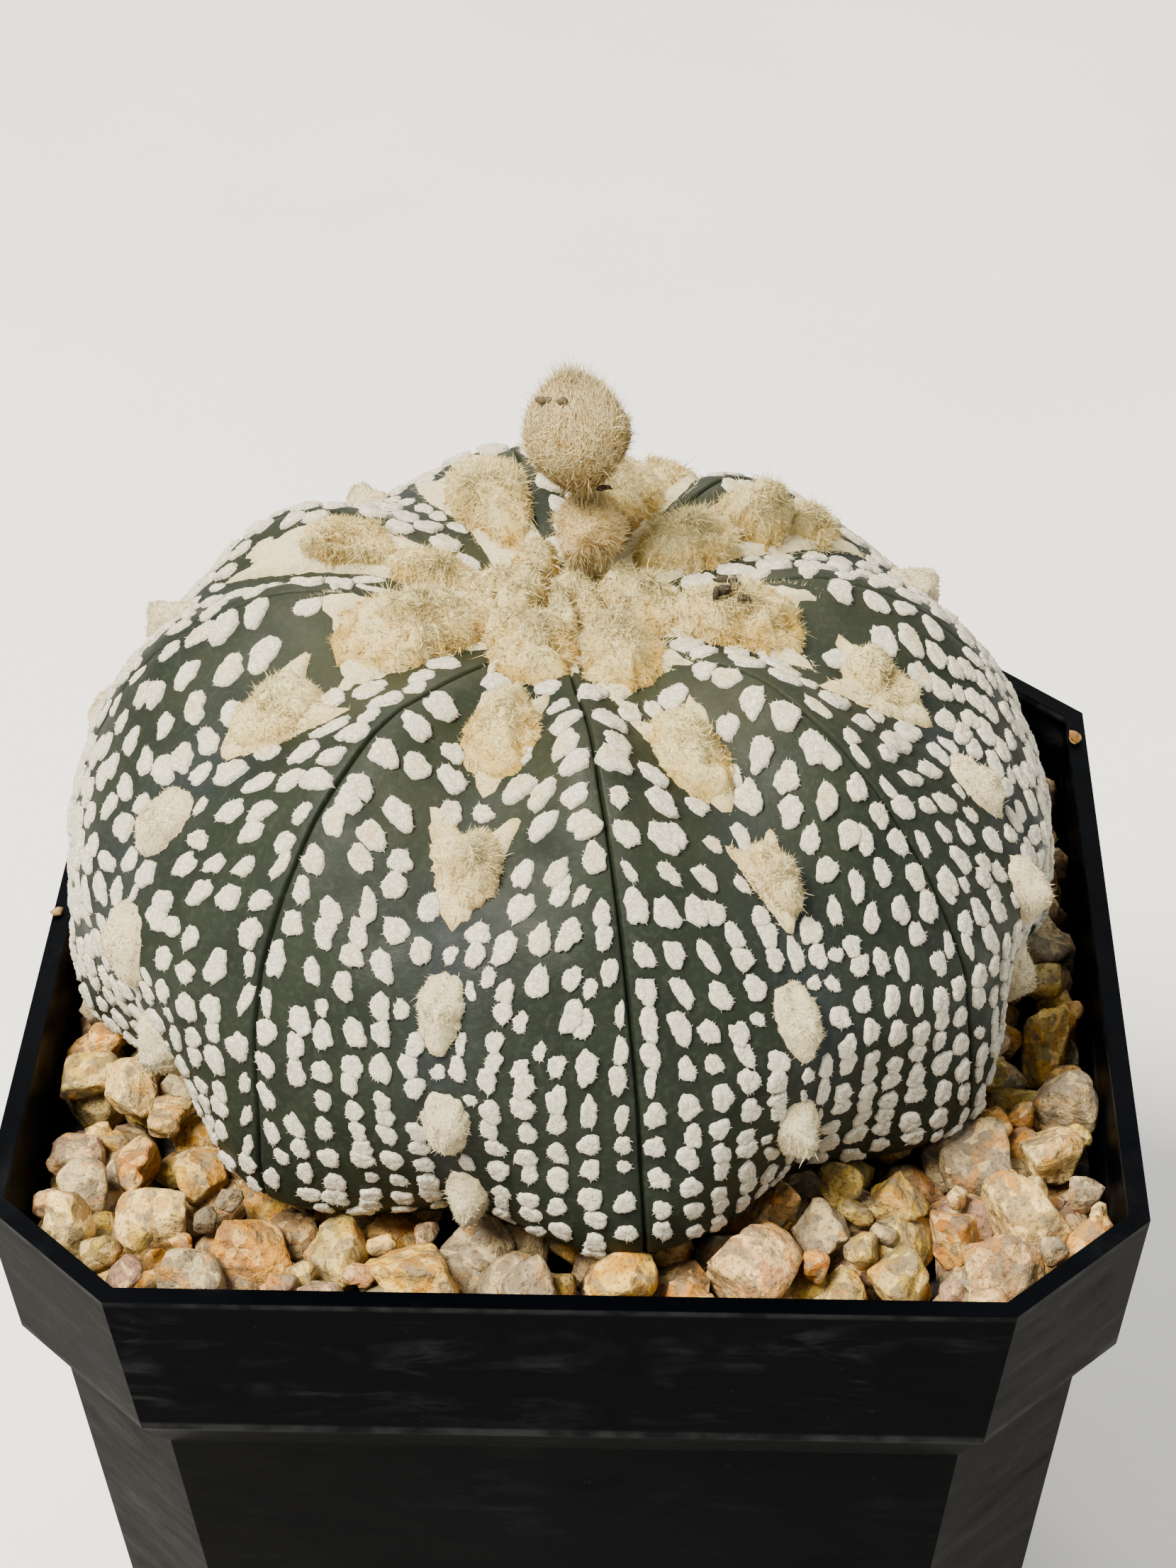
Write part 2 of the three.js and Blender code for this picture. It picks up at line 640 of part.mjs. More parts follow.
// Flower bud: an egg of wool with shaggy folds towards its tip, on its round foot
function makeBud() {
  const random = randomSource(BUD_SEED);
  const tip = new THREE.Vector3(...BUD_TIP);
  const foot = new THREE.Vector3(...BUD_FOOT);
  const axis = tip.clone().sub(foot).normalize();
  const turn = new THREE.Quaternion().setFromUnitVectors(UP, axis);
  const loops = [];
  for (let level = 0; level <= BUD_LEVELS; level += 1) {
    const share = THREE.MathUtils.lerp(...BUD_SHARES, level / BUD_LEVELS);
    const swell = Math.sin(Math.PI * share ** 0.92) ** 0.62;
    const loop = [];
    for (let i = 0; i < BUD_SIDES; i += 1) {
      const angle = (2 * Math.PI * (i + (level % 2) / 2)) / BUD_SIDES;
      const fold = (i % 2 ? BUD_FOLDS : -BUD_FOLDS) * fade([0.3, 1], share);
      const radius = BUD_RADIUS * swell * (1 + fold + pick([-BUD_RAGGED, BUD_RAGGED], random));
      const lift = (share - 1) * BUD_LENGTH;
      const point = new THREE.Vector3(radius * Math.cos(angle), radius * Math.sin(angle), lift);
      loop.push(point.applyQuaternion(turn).add(tip));
    }
    loops.push(loop);
  }
  return toGeometry(toManifold(stackLoops(loops)).add(toManifold(budFoot(0))));
}

// Growing mix, from the pot's floor to the grit, with a plain hole for the root
function makeMix() {
  const bottom = FLOOR + CHANNEL_DEPTH + GAP;
  const fill = cavity(GAP, bottom, MIX_TOP);
  return toGeometry(mainBody(fill.subtract(toManifold(makeRoot(GAP)))));
}

// Angular stones on a bed, laid on a jittered hexagonal pattern from wall to plant
function makeGrit() {
  const random = randomSource(STONE_SEED);
  const stones = [];
  const rowPitch = STONE_PITCH * Math.sin(Math.PI / 3);
  const rows = Math.ceil(STONE_SPREAD / rowPitch);
  for (let row = -rows; row <= rows; row += 1) {
    for (let column = -rows; column <= rows; column += 1) {
      const x = (column + (row % 2 ? 0.5 : 0)) * STONE_PITCH + (random() - 0.5) * STONE_JITTER;
      const y = row * rowPitch + (random() - 0.5) * STONE_JITTER;
      const stone = makeStone(pick(STONE_SIZE, random), random);
      stone.translate(x, y, GRIT_BED_TOP + pick(STONE_LIFT, random));
      const fromPlant = Math.hypot(x - AXIS_BASE[0], y - AXIS_BASE[1]);
      const [acrossX, acrossY] = [Math.abs(x), Math.abs(y)];
      const inPot = Math.max(acrossX, acrossY) < STONE_SPREAD && acrossX + acrossY < STONE_CORNER_SPREAD;
      if (inPot && fromPlant > BODY_RADIUS * STONES_FROM) {
        stones.push(toManifold(stone));
      }
    }
  }
  const bed = cavity(GAP, MIX_TOP + GAP, GRIT_BED_TOP);
  const insidePot = cavity(GAP, MIX_TOP + GAP, POT_HEIGHT + OVERRUN);
  const grit = bed.add(joinAll(stones).intersect(insidePot));
  const room = plantRoom(GAP + FLECK_HEIGHT + 2 * ROOM_SLACK).add(toManifold(makeRoot(GAP)));
  return toGeometry(mainBody(grit.subtract(room)));
}

// Broken stone: a block with its corners knocked about, turned at random
function makeStone(size, random) {
  const breadth = size * pick(STONE_BREADTH, random);
  const thickness = size * pick(STONE_THICKNESS, random);
  const box = new THREE.BoxGeometry(size, breadth, thickness);
  const stone = mergeVertices(box.deleteAttribute('uv').deleteAttribute('normal'));
  const position = stone.attributes.position;
  for (let i = 0; i < position.count; i += 1) {
    const knock = pick(STONE_KNOCK, random);
    position.setXYZ(i, position.getX(i) * knock, position.getY(i) * knock, position.getZ(i) * knock);
  }
  stone.rotateX(2 * Math.PI * random());
  stone.rotateZ(2 * Math.PI * random());
  return stone;
}

function makeMesh(name, geometry, color, roughness) {
  geometry.computeVertexNormals();
  const material = new THREE.MeshStandardMaterial({ color, roughness, metalness: 0 });
  const mesh = new THREE.Mesh(geometry, material);
  mesh.name = name;
  return mesh;
}

const pottedCactus = new THREE.Group();
pottedCactus.add(
  makeMesh('pot', makePot(), '#15181c', 0.55),
  makeMesh('growing_mix', makeMix(), '#3a2c22', 1),
  makeMesh('gravel_top_dressing', makeGrit(), '#c79a72', 0.8),
  makeMesh('cactus_body', makeCactus(), '#46583c', 0.8),
  makeMesh('crown_wool', makeWool(), '#e8d8b0', 1),
  makeMesh('flower_bud', makeBud(), '#cdb48c', 1),
);

export default pottedCactus;
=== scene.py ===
import math

import bmesh
import bpy
import numpy as np
from mathutils import Matrix, Vector


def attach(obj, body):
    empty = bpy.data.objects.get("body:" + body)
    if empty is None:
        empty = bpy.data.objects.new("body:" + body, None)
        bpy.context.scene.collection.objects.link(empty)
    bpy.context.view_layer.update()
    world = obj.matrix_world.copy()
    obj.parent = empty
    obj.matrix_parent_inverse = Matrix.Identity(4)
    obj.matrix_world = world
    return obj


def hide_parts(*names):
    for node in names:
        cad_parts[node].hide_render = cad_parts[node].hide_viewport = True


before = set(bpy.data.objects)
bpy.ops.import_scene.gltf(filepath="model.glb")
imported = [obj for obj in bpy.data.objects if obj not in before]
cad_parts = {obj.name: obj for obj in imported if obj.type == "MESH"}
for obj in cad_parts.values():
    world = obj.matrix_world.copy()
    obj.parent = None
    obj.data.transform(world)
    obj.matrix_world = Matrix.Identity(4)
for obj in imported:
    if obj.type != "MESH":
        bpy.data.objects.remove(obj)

# Looks of a potted star cactus. Lengths are in millimetres and become metres in build_piece. Those of the
# camera and the room are in metres.
MM = 0.001

# Camera
PHOTO_WIDTH = 1659
FOCAL_PIXELS = 5164.5
SENSOR_WIDTH = 36.0
EYE = Vector((0.01004, -0.22990, 0.25639))
TARGET = Vector((0.0007236, 0.0036757, 0.0883703))
ROLL = math.radians(-0.651)

POT_HEIGHT = 76.0

# Plant envelope, as in the solid
BODY_RADIUS = 38.0
CROWN_HEIGHT = POT_HEIGHT + 31
WAIST_HEIGHT = POT_HEIGHT + 12.4
GRIT_LINE = POT_HEIGHT - 1
FOOT_RATIO = 0.933
UPPER_SHARE = 0.62
AXIS_BASE = np.array([-0.5, 0.5])
AXIS_TOP = np.array([-1.4, 0.1])
RIBS = 8
RIB_ANGLE = 2 * math.pi / RIBS
FIRST_SUTURE = 0.178
FOOT_LOBES = 0.066
LOPSIDED = 0.043
LOPSIDED_TOWARDS = 3.49
RIDGE_RISE = 3.4
CROWN_DIP = 1.2
CROWN_DIP_RADIUS = 9.5
LINES_PER_RIB = 48

# Depth and half width of a suture's crease, of its lips and of the groove along an areole line
CREASE = (0.55, 0.22)
LIPS = (0.12, 0.9)
GROOVE = (0.3, 1.8)

# Rows below the grit: share of the foot's radius and depth, then radius and depth of the taproot
UNDERSIDE = [(0.985, 2.0), (0.95, 3.1), (0.84, 4.6), (0.6, 7.2)]
TAPROOT = [(7.2, 8.2), (6.3, 14), (5.6, 20), (4.3, 29), (2.6, 37), (0.9, 42)]

# How the ribs at the left lean out of their even places in their upper part
LEAN = 0.21
LEAN_CENTRE = 4.86
LEAN_SPREAD = 0.52

# Areoles down each rib: distance from the growing point and offset across
TUFTS = [
    [(15.6, 0.0), (27.6, 0.0), (38.8, 0.0), (47.8, 0.6), (56.2, 1.2)],
    [(19.6, 0.3), (31.2, 0.4), (41.8, -1.6), (51.6, -2.2)],
    [(25.2, 0.6), (35.8, -1.6), (44.6, -4.0), (53.5, -3.0)],
    [(36.0, 1.0), (46.0, 0.0), (55.0, 0.0)],
    [(31.5, 0.0), (42.0, 0.4), (52.0, 0.0)],
    [(32.0, 0.0), (42.5, -0.4), (52.5, 0.0)],
    [(34.5, 0.0), (45.0, 0.0), (54.5, 0.0)],
    [(22.8, 0.0), (34.8, 0.6), (44.0, 2.4), (53.0, 2.0)],
]

# Areoles nearer than this have horns, and so has one further out, given by rib and distance
HORNED_UNTIL = 28
LATE_HORNED = (1, 31.2)

# How far the arm of crown wool on each rib reaches
ARM_REACH = [8, 12.5, 19.5, 29, 25, 25.5, 28.5, 17.5]

# How far an arm of crown wool has drifted across its rib by 20 mm from the growing point
DRIFT_DISTANCE = 20
ARM_DRIFT = [1.0, 2.0, 2.9, 3.4, -3.2, -4.0, -4.3, -3.0]

# Puffs along each arm: distance from the growing point, half width, half length and height
PUFFS = [
    [(6.3, 3.3, 3.2, 3.0)],
    [(8.7, 3.5, 3.6, 3.0)],
    [(13.6, 3.0, 5.7, 3.1), (7.4, 2.4, 2.8, 2.4)],
    [(12.6, 2.7, 5.4, 2.7), (19.8, 2.5, 2.9, 4.3), (25.0, 2.2, 3.0, 1.5)],
    [(9.6, 1.9, 3.4, 4.6), (14.4, 2.2, 4.4, 4.2), (20.5, 2.1, 3.6, 1.8)],
    [(14.6, 2.6, 7.0, 3.0)],
    [(18.0, 2.4, 4.4, 2.5), (9.8, 2.0, 4.8, 1.8)],
    [(10.6, 2.9, 6.6, 2.9)],
]

# Outlines of a young and an old areole, as points across and down the skin
HORNED_OUTLINE = [
    (0, -2.2), (-3.4, -4.0), (-4.2, -4.6), (-3.6, -2.4), (-2.5, 0.6), (-1.2, 3.9),
    (0, 6.1), (1.2, 3.9), (2.5, 0.6), (3.6, -2.4), (4.2, -4.6), (3.4, -4.0),
]
OVAL_OUTLINE = [
    (0, -3.0), (-1.2, -2.5), (-1.8, -0.6), (-1.3, 1.6), (0, 3.4), (1.3, 1.6), (1.8, -0.6), (1.2, -2.5),
]

# Bare skin round the growing point, and bare margins at sutures, arms of wool and tufts
BARE_CROWN = 7.6
SUTURE_MARGIN = 0.16
WOOL_MARGIN = 0.1
TUFT_MARGIN = 0.2

# Half length, half width and pitch of the flecks, and size of those in gaps: by the crown and lower down
FLECK_LENGTH = (1.2, 0.86)
FLECK_WIDTH = (1.14, 0.76)
FLECK_PITCH = (3.2, 2.45)
FILLER_SIZE = (1.0, 0.62)
MOST_COLUMNS = 8
FILLER_TRIES = 1100

# Points round a fleck, its squareness and hairs, and its rings: share of its reach, rise and raggedness
FLECK_POINTS = 24
SQUARENESS = 2.3
FLECK_HAIRS = 18
FLECK_RINGS = [(1.03, -0.14, 1.0), (0.97, 0.68, 1.0), (0.76, 1.0, 0.4), (0.38, 0.93, 0.0)]

HAIR_WIDTH = 0.06
CURL_WIDTH = 0.08
STRIP_COLUMNS = 13
STRIP_HAIRS_PER_MM = 130
PUFF_HAIRS = 400

# Lumps of wool over the growing point: distance from it and how many
CENTRE_LUMPS = [(0.2, 1), (2.9, 5), (5.6, 9)]

# Dark flakes in the wool: how many, and their rib, distance, offset across and rise
SOIL_FLAKES = 8
FLAKE_PLACE = (2, 13.4, 2.6, 3.7)

# Flower bud: its tip, foot, size, numbers of hairs, and withered scales by share, angle and size
BUD_TIP = np.array([-0.3, 4.0, 124.4])
BUD_FOOT = np.array([0.9, 3.6, 111.8])
BUD_LENGTH = 9.8
BUD_RADIUS = 3.6
FOOT_RADIUS = 2.3
LYING_HAIRS = 8500
STANDING_HAIRS = 4400
FOOT_HAIRS = 5000
WITHERED_SCALES = [
    (0.9, 0.6, (0.7, 0.3, 0.25)), (0.92, 1.35, (0.4, 0.25, 0.3)), (0.14, 2.5, (0.9, 0.3, 0.2)),
]

# Collar of the pot: height of its foot, its own height, then width, corner cut and wall at foot and rim
COLLAR_FOOT = 62.1
COLLAR_HEIGHT = 13.9
COLLAR_WIDTH = (82.4, 85)
CORNER_CUT = (10.5, 10.2)
WALL = (1.2, 1.5)
WALL_GAP = 0.35
EDGE_ROUNDING = 0.45
SOILED_HEIGHTS = (62.5, 75)

# Two tints of each kind of stone
STONE_TINTS = {
    "cream": ((0.80, 0.57, 0.20), (0.56, 0.34, 0.085)),
    "pink": ((0.50, 0.24, 0.09), (0.70, 0.44, 0.18)),
    "ochre": ((0.52, 0.24, 0.012), (0.72, 0.45, 0.06)),
    "orange": ((0.48, 0.17, 0.012), (0.64, 0.31, 0.04)),
    "grey": ((0.22, 0.175, 0.11), (0.32, 0.25, 0.15)),
    "mauve": ((0.22, 0.12, 0.075), (0.36, 0.21, 0.125)),
    "brown": ((0.12, 0.055, 0.016), (0.24, 0.12, 0.035)),
    "yellow": ((0.62, 0.40, 0.05), (0.34, 0.24, 0.055)),
}
COMMON = [
    "cream", "yellow", "mauve", "ochre", "orange", "grey",
    "grey", "brown", "yellow", "orange", "mauve", "pink",
]

# The largest stones, listed one by one: x, y, diameter and tint
HERO_STONES = [
    (-30.4, -29.0, 6.9, "cream"), (-38.0, -13.6, 5.6, "yellow"), (-33.9, -15.2, 5.8, "cream"),
    (-30.8, -18.8, 4.8, "cream"), (-37.8, -21.7, 4.8, "mauve"), (-36.4, -26.0, 4.6, "grey"),
    (34.0, -28.6, 7.6, "cream"), (32.2, -34.2, 6.6, "pink"), (24.4, -26.4, 5.4, "ochre"),
    (13.6, -34.4, 8.4, "pink"), (24.6, -35.6, 5.8, "yellow"), (37.0, 4.8, 6.2, "grey"),
    (36.9, -6.1, 6.6, "ochre"), (36.6, 12.0, 5.4, "orange"), (-22.4, -32.9, 7.0, "orange"),
    (-27.4, -36.6, 6.0, "grey"), (-16.6, -33.6, 5.8, "yellow"), (-10.4, -36.0, 7.6, "ochre"),
    (-2.5, -36.2, 6.9, "grey"), (4.6, -36.6, 6.0, "ochre"), (37.4, -13.5, 6.8, "grey"),
    (36.4, -20.5, 6.2, "cream"), (30.6, -22.6, 6.0, "grey"), (-36.6, -31.2, 5.0, "cream"),
    (19.0, -30.4, 4.6, "grey"), (28.6, -30.4, 5.2, "orange"), (-33.0, -22.6, 5.2, "orange"),
]

# Scattered stones in three rounds: tries, least and greatest radius, closeness and how deep they may sit
STONE_ROUNDS = [(1500, 2.4, 3.3, 0.86, 0.5), (2600, 1.7, 2.4, 0.84, 0.9), (2600, 1.1, 1.7, 0.8, 1.3)]

# Stones of the first round nearer the front than this are the large ones with the finest mesh
LARGE_BEFORE = 12

# Half width and spacing of the layer of stones underneath, and how far it keeps from the plant's axis
LOWER_REACH = 38
LOWER_SPACING = 4.2
LOWER_CLEAR = 28
RIM_CRUMBS = [(41.5, 28.0, 76.3), (-42.1, 2.2, 76.2)]
FACETS = 12
FACET_SHARPNESS = 18

# Room in metres: half the floor's side, its light, and lamps by name, place, size, power and colour
FLOOR_REACH = 2.5
ROOM_COLOUR = (0.95, 0.97, 1.0, 1)
ROOM_STRENGTH = 0.57
LAMP_AIM = Vector((0, 0, 0.09))
LAMPS = [
    ("key", (-0.36, -0.34, 0.86), 0.42, 38, (1.0, 0.95, 0.86)),
    ("fill", (0.8, -0.1, 0.5), 0.8, 3.5, (0.94, 0.97, 1.0)),
    ("back", (-0.1, 0.8, 0.8), 0.8, 9, (1.0, 0.98, 0.95)),
]

# Seeds of the random draws, one for each use
PLACE_SEED, FRONT_SEED, BACK_SEED, TUFT_SEED, CROWN_SEED, BUD_SEED, GRIT_SEED = range(4, 11)

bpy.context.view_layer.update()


# Smooth step from 0 at low to 1 at high
def smooth(low, high, value):
    t = np.clip((value - low) / (high - low), 0, 1)
    return t * t * (3 - 2 * t)


def lerp(low, high, share):
    return low + (high - low) * share


# Random value from 0 to 1 for each whole-number point
def lattice(cells, seed):
    n = cells.astype(np.int64)
    h = n[..., 0] * 374761393 + n[..., 1] * 668265263 + n[..., 2] * 1442695041 + seed * 974634777
    h = h & 0xFFFFFFFF
    h = ((h ^ (h >> 13)) * 1274126177) & 0xFFFFFFFF
    h = h ^ (h >> 16)
    return h / 4294967296.0


# Smooth noise from -1 to 1, with blobs of a size
def noise(points, size, seed=0):
    scaled = points / size
    base = np.floor(scaled)
    f = scaled - base
    f = f * f * (3 - 2 * f)
    total = np.zeros(points.shape[:-1])
    for corner in np.ndindex(2, 2, 2):
        step = np.array(corner)
        weight = np.prod(np.where(step, f, 1 - f), axis=-1)
        total += weight * lattice(base + step, seed)
    return 2 * total - 1


def unit(vectors):
    return vectors / np.maximum(np.linalg.norm(vectors, axis=-1, keepdims=True), 1e-9)


# Meridian of the plant's envelope: share 0 is the growing point and 1 the grit line
def envelope(share):
    share = np.asarray(share, float)
    turn = np.minimum(share / UPPER_SHARE, 1) * np.pi / 2
    upper_radius = BODY_RADIUS * np.sin(turn) ** 0.68
    upper_height = WAIST_HEIGHT + (CROWN_HEIGHT - WAIST_HEIGHT) * np.maximum(np.cos(turn), 0) ** 1.33
    drop = np.maximum((share - UPPER_SHARE) / (1 - UPPER_SHARE), 0)
    lower_radius = BODY_RADIUS * (1 - (1 - FOOT_RATIO) * drop ** 2)
    lower_height = WAIST_HEIGHT + (GRIT_LINE - WAIST_HEIGHT) * np.sin(drop * np.pi / 2)
    upper = share <= UPPER_SHARE
    return np.where(upper, upper_radius, lower_radius), np.where(upper, upper_height, lower_height)


SHARES = np.linspace(0, 1, 401)
_radii, _heights = envelope(SHARES)
LENGTHS = np.concatenate([[0], np.cumsum(np.hypot(np.diff(_radii), np.diff(_heights)))])
MERIDIAN = LENGTHS[-1]


def share_at(distance):
    return np.interp(distance, LENGTHS, SHARES)


def radius_at(distance):
    return envelope(share_at(distance))[0]


# How far the ribs near the left side lean
def lean_at(direction, share):
    away = (direction - LEAN_CENTRE + np.pi) % (2 * np.pi) - np.pi
    return LEAN * np.exp(-((away / LEAN_SPREAD) ** 2)) * (1 - smooth(0.47, 0.76, share))


# Point at a direction (0 is -Y, a quarter turn is +X) with a radius and height of the envelope
def lobed_point(direction, radius, height, share, lobe_fade):
    leaned = direction - lean_at(direction, share)
    wave = np.cos(RIBS * (direction - FIRST_SUTURE))
    ridge = ((1 + wave) / 2) ** 1.5
    upper = smooth(0, 0.2, share) * (1 - smooth(0.3, 0.75, share))
    lobes = FOOT_LOBES * smooth(0.55, 1, share) * lobe_fade
    lopsided = LOPSIDED * np.cos(leaned - LOPSIDED_TOWARDS)
    dip = CROWN_DIP * np.exp(-((radius / CROWN_DIP_RADIUS) ** 2))
    z = height + RIDGE_RISE * upper * ridge - dip
    r = radius * (1 + lopsided + lobes * wave) * (1 - 0.045 * upper * ridge)
    climb = np.clip((z - GRIT_LINE) / (CROWN_HEIGHT - GRIT_LINE), 0, 1)
    x = lerp(AXIS_BASE[0], AXIS_TOP[0], climb) + r * np.sin(leaned)
    y = lerp(AXIS_BASE[1], AXIS_TOP[1], climb) - r * np.cos(leaned)
    return np.stack([x, y, z], -1)


def bare_skin(direction, distance):
    share = share_at(distance)
    radius, height = envelope(share)
    return lobed_point(direction, radius, height, share, 1)


def skin_normal(direction, distance):
    step = 0.4
    start = np.clip(distance, 2 * step, MERIDIAN - step)
    turn = step / np.maximum(radius_at(start), 1)
    across = bare_skin(direction + turn, start) - bare_skin(direction - turn, start)
    down = bare_skin(direction, start + step) - bare_skin(direction, start - step)
    return unit(np.cross(down, across))


# Signed distance across the skin to the nearest of the lines that lie at first + n ribs
def across_from(first, direction, distance):
    turn = (direction - first + RIB_ANGLE / 2) % RIB_ANGLE - RIB_ANGLE / 2
    return turn * radius_at(distance)


# Creased sutures with soft lips, shallow areole lines and uneven growth
def relief(direction, distance, points):
    suture = np.abs(across_from(FIRST_SUTURE, direction, distance))
    line = across_from(FIRST_SUTURE + RIB_ANGLE / 2, direction, distance)
    crease = -CREASE[0] * np.clip(1 - suture / CREASE[1], 0, 1) * smooth(4, 11, distance)
    lips = -LIPS[0] * np.exp(-((suture / LIPS[1]) ** 2)) * smooth(6, 14, distance)
    groove = -GROOVE[0] * np.exp(-((line / GROOVE[1]) ** 2)) * smooth(12, 22, distance)
    return crease + lips + groove + 0.28 * noise(points, 6, 1) + 0.1 * noise(points, 2.2, 2)


def on_skin(direction, distance, rise):
    direction, distance = np.broadcast_arrays(np.asarray(direction, float), np.asarray(distance, float))
    points = bare_skin(direction, distance)
    lift = rise + relief(direction, distance, points)
    return points + skin_normal(direction, distance) * lift[..., None]


# Points, faces and named values at the points of one piece, gathered from its parts
class Heap:
    def __init__(self):
        self.points = []
        self.faces = {3: [], 4: []}
        self.values = {}
        self.count = 0

    def add(self, points, faces, **values):
        points = np.asarray(points, float).reshape(-1, 3)
        for block in faces:
            block = np.asarray(block).reshape(len(block), -1)
            if len(block):
                self.faces[block.shape[1]].append(block + self.count)
        for name, value in values.items():
            value = np.asarray(value, float)
            if value.ndim == 0 or value.shape == (3,):
                value = np.broadcast_to(value, (len(points),) + value.shape)
            self.values.setdefault(name, []).append(value)
        self.points.append(points)
        self.count += len(points)


def new_object(name, data):
    made = bpy.data.objects.new(name, data)
    bpy.context.scene.collection.objects.link(made)
    return made


# Makes one piece of the scene from a heap, with its material, slot and the node that it replaces
def build_piece(name, heap, material, node):
    points = np.concatenate(heap.points) * MM
    faces = [np.concatenate(blocks) for blocks in heap.faces.values() if blocks]
    loops = np.concatenate([block.reshape(-1) for block in faces])
    sizes = np.concatenate([np.full(len(block), block.shape[1]) for block in faces])
    starts = np.concatenate([[0], np.cumsum(sizes)[:-1]])
    mesh = bpy.data.meshes.new(name)
    mesh.vertices.add(len(points))
    mesh.vertices.foreach_set("co", points.astype(np.float32).ravel())
    mesh.loops.add(len(loops))
    mesh.loops.foreach_set("vertex_index", loops.astype(np.int32))
    mesh.polygons.add(len(sizes))
    mesh.polygons.foreach_set("loop_start", starts.astype(np.int32))
    for key, blocks in heap.values.items():
        value = np.concatenate(blocks)
        if value.ndim == 1:
            attribute = mesh.attributes.new(key, "FLOAT", "POINT")
            attribute.data.foreach_set("value", value.astype(np.float32))
        else:
            attribute = mesh.attributes.new(key, "FLOAT_VECTOR", "POINT")
            attribute.data.foreach_set("vector", value.astype(np.float32).ravel())
    mesh.update(calc_edges=True)
    mesh.validate()
    mesh.shade_smooth()
    mesh.materials.append(material)
    piece = new_object(name, mesh)
    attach(piece, "root")
    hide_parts(node)


# Quads between rows of points that close round; the rows run down and the points run round
def ring_quads(rows, count):
    row = np.arange(rows - 1)[:, None] * count
    here = np.arange(count)[None, :]
    after = (here + 1) % count
    quads = np.stack([row + after, row + here, row + count + here, row + count + after], -1)
    return quads.reshape(-1, 4)


# Triangles from a centre point to a ring of points
def fan(centre, first, count):
    here = np.arange(count)
    return np.stack([np.full(count, centre), first + here, first + (here + 1) % count], -1)


# Points and faces of a shell closed at both ends, from rows of points that run round it
def closed_shell(grid):
    rows, around = grid.shape[:2]
    points = np.concatenate([grid.reshape(-1, 3), grid[0].mean(0)[None], grid[-1].mean(0)[None]])
    top = rows * around
    ends = [fan(top, 0, around)[:, ::-1], fan(top + 1, top - around, around)]
    return points, [ring_quads(rows, around), *ends]


# Angles at even steps round a circle
def turns(count):
    return np.arange(count) * 2 * np.pi / count


# Directions turned at random, further for a larger share
def scattered(directions, share, random):
    return unit(directions + share * random.normal(size=directions.shape))


# Faces of ribbons with five points each: two at the root, two half way and the tip
def ribbon_faces(count):
    first = np.arange(count)[:, None] * 5
    return np.concatenate([first + [0, 1, 3], first + [0, 3, 2], first + [2, 3, 4]])


# Thin tapered ribbons from roots along directions, each with one bend
def ribbons(roots, directions, lengths, width, bend, random):
    side = unit(np.cross(directions, random.normal(size=roots.shape))) * width / 2
    curl = random.normal(size=roots.shape) * (lengths * bend)[:, None]
    middle = roots + directions * lengths[:, None] * 0.55 + curl * 0.35
    tip = roots + directions * lengths[:, None] * 0.95 + curl
    points = np.stack([roots - side, roots + side, middle - side * 0.8, middle + side * 0.8, tip], 1)
    return points.reshape(-1, 3), ribbon_faces(len(roots))


# Short straight hairs, one thin triangle each, with values at root and tip
def fuzz(heap, roots, directions, sizes, random, **values):
    side = unit(np.cross(directions, random.normal(size=roots.shape))) * HAIR_WIDTH / 2
    points = np.stack([roots - side, roots + side, roots + directions * sizes[:, None]], 1)
    spread = {}
    for name, (root, tip) in values.items():
        root, tip = np.broadcast_to(root, len(roots)), np.broadcast_to(tip, len(roots))
        spread[name] = np.stack([root, root, tip], 1).ravel()
    heap.add(points, [np.arange(3 * len(roots)).reshape(-1, 3)], **spread)


# How far an outline reaches in each of several directions from its middle
def outline_reach(outline, angles):
    corners = np.array(outline, float)
    order = np.argsort(np.arctan2(corners[:, 0], corners[:, 1]) % (2 * math.pi))
    corners = corners[order]
    after = np.roll(corners, -1, 0)
    rays = np.stack([np.sin(angles), np.cos(angles)], -1)
    edge = after - corners
    det = rays[:, None, 0] * edge[None, :, 1] - rays[:, None, 1] * edge[None, :, 0]
    safe = np.where(abs(det) < 1e-9, 1e-9, det)
    reach = (corners[:, 0] * edge[:, 1] - corners[:, 1] * edge[:, 0]) / safe
    part = (corners[None, :, 0] * rays[:, None, 1] - corners[None, :, 1] * rays[:, None, 0]) / safe
    good = (reach > 0) & (part >= -1e-6) & (part <= 1 + 1e-6)
    found = np.where(good, reach, 1e9).min(1)
    return np.where(found > 1e8, np.abs(corners).max(), found)


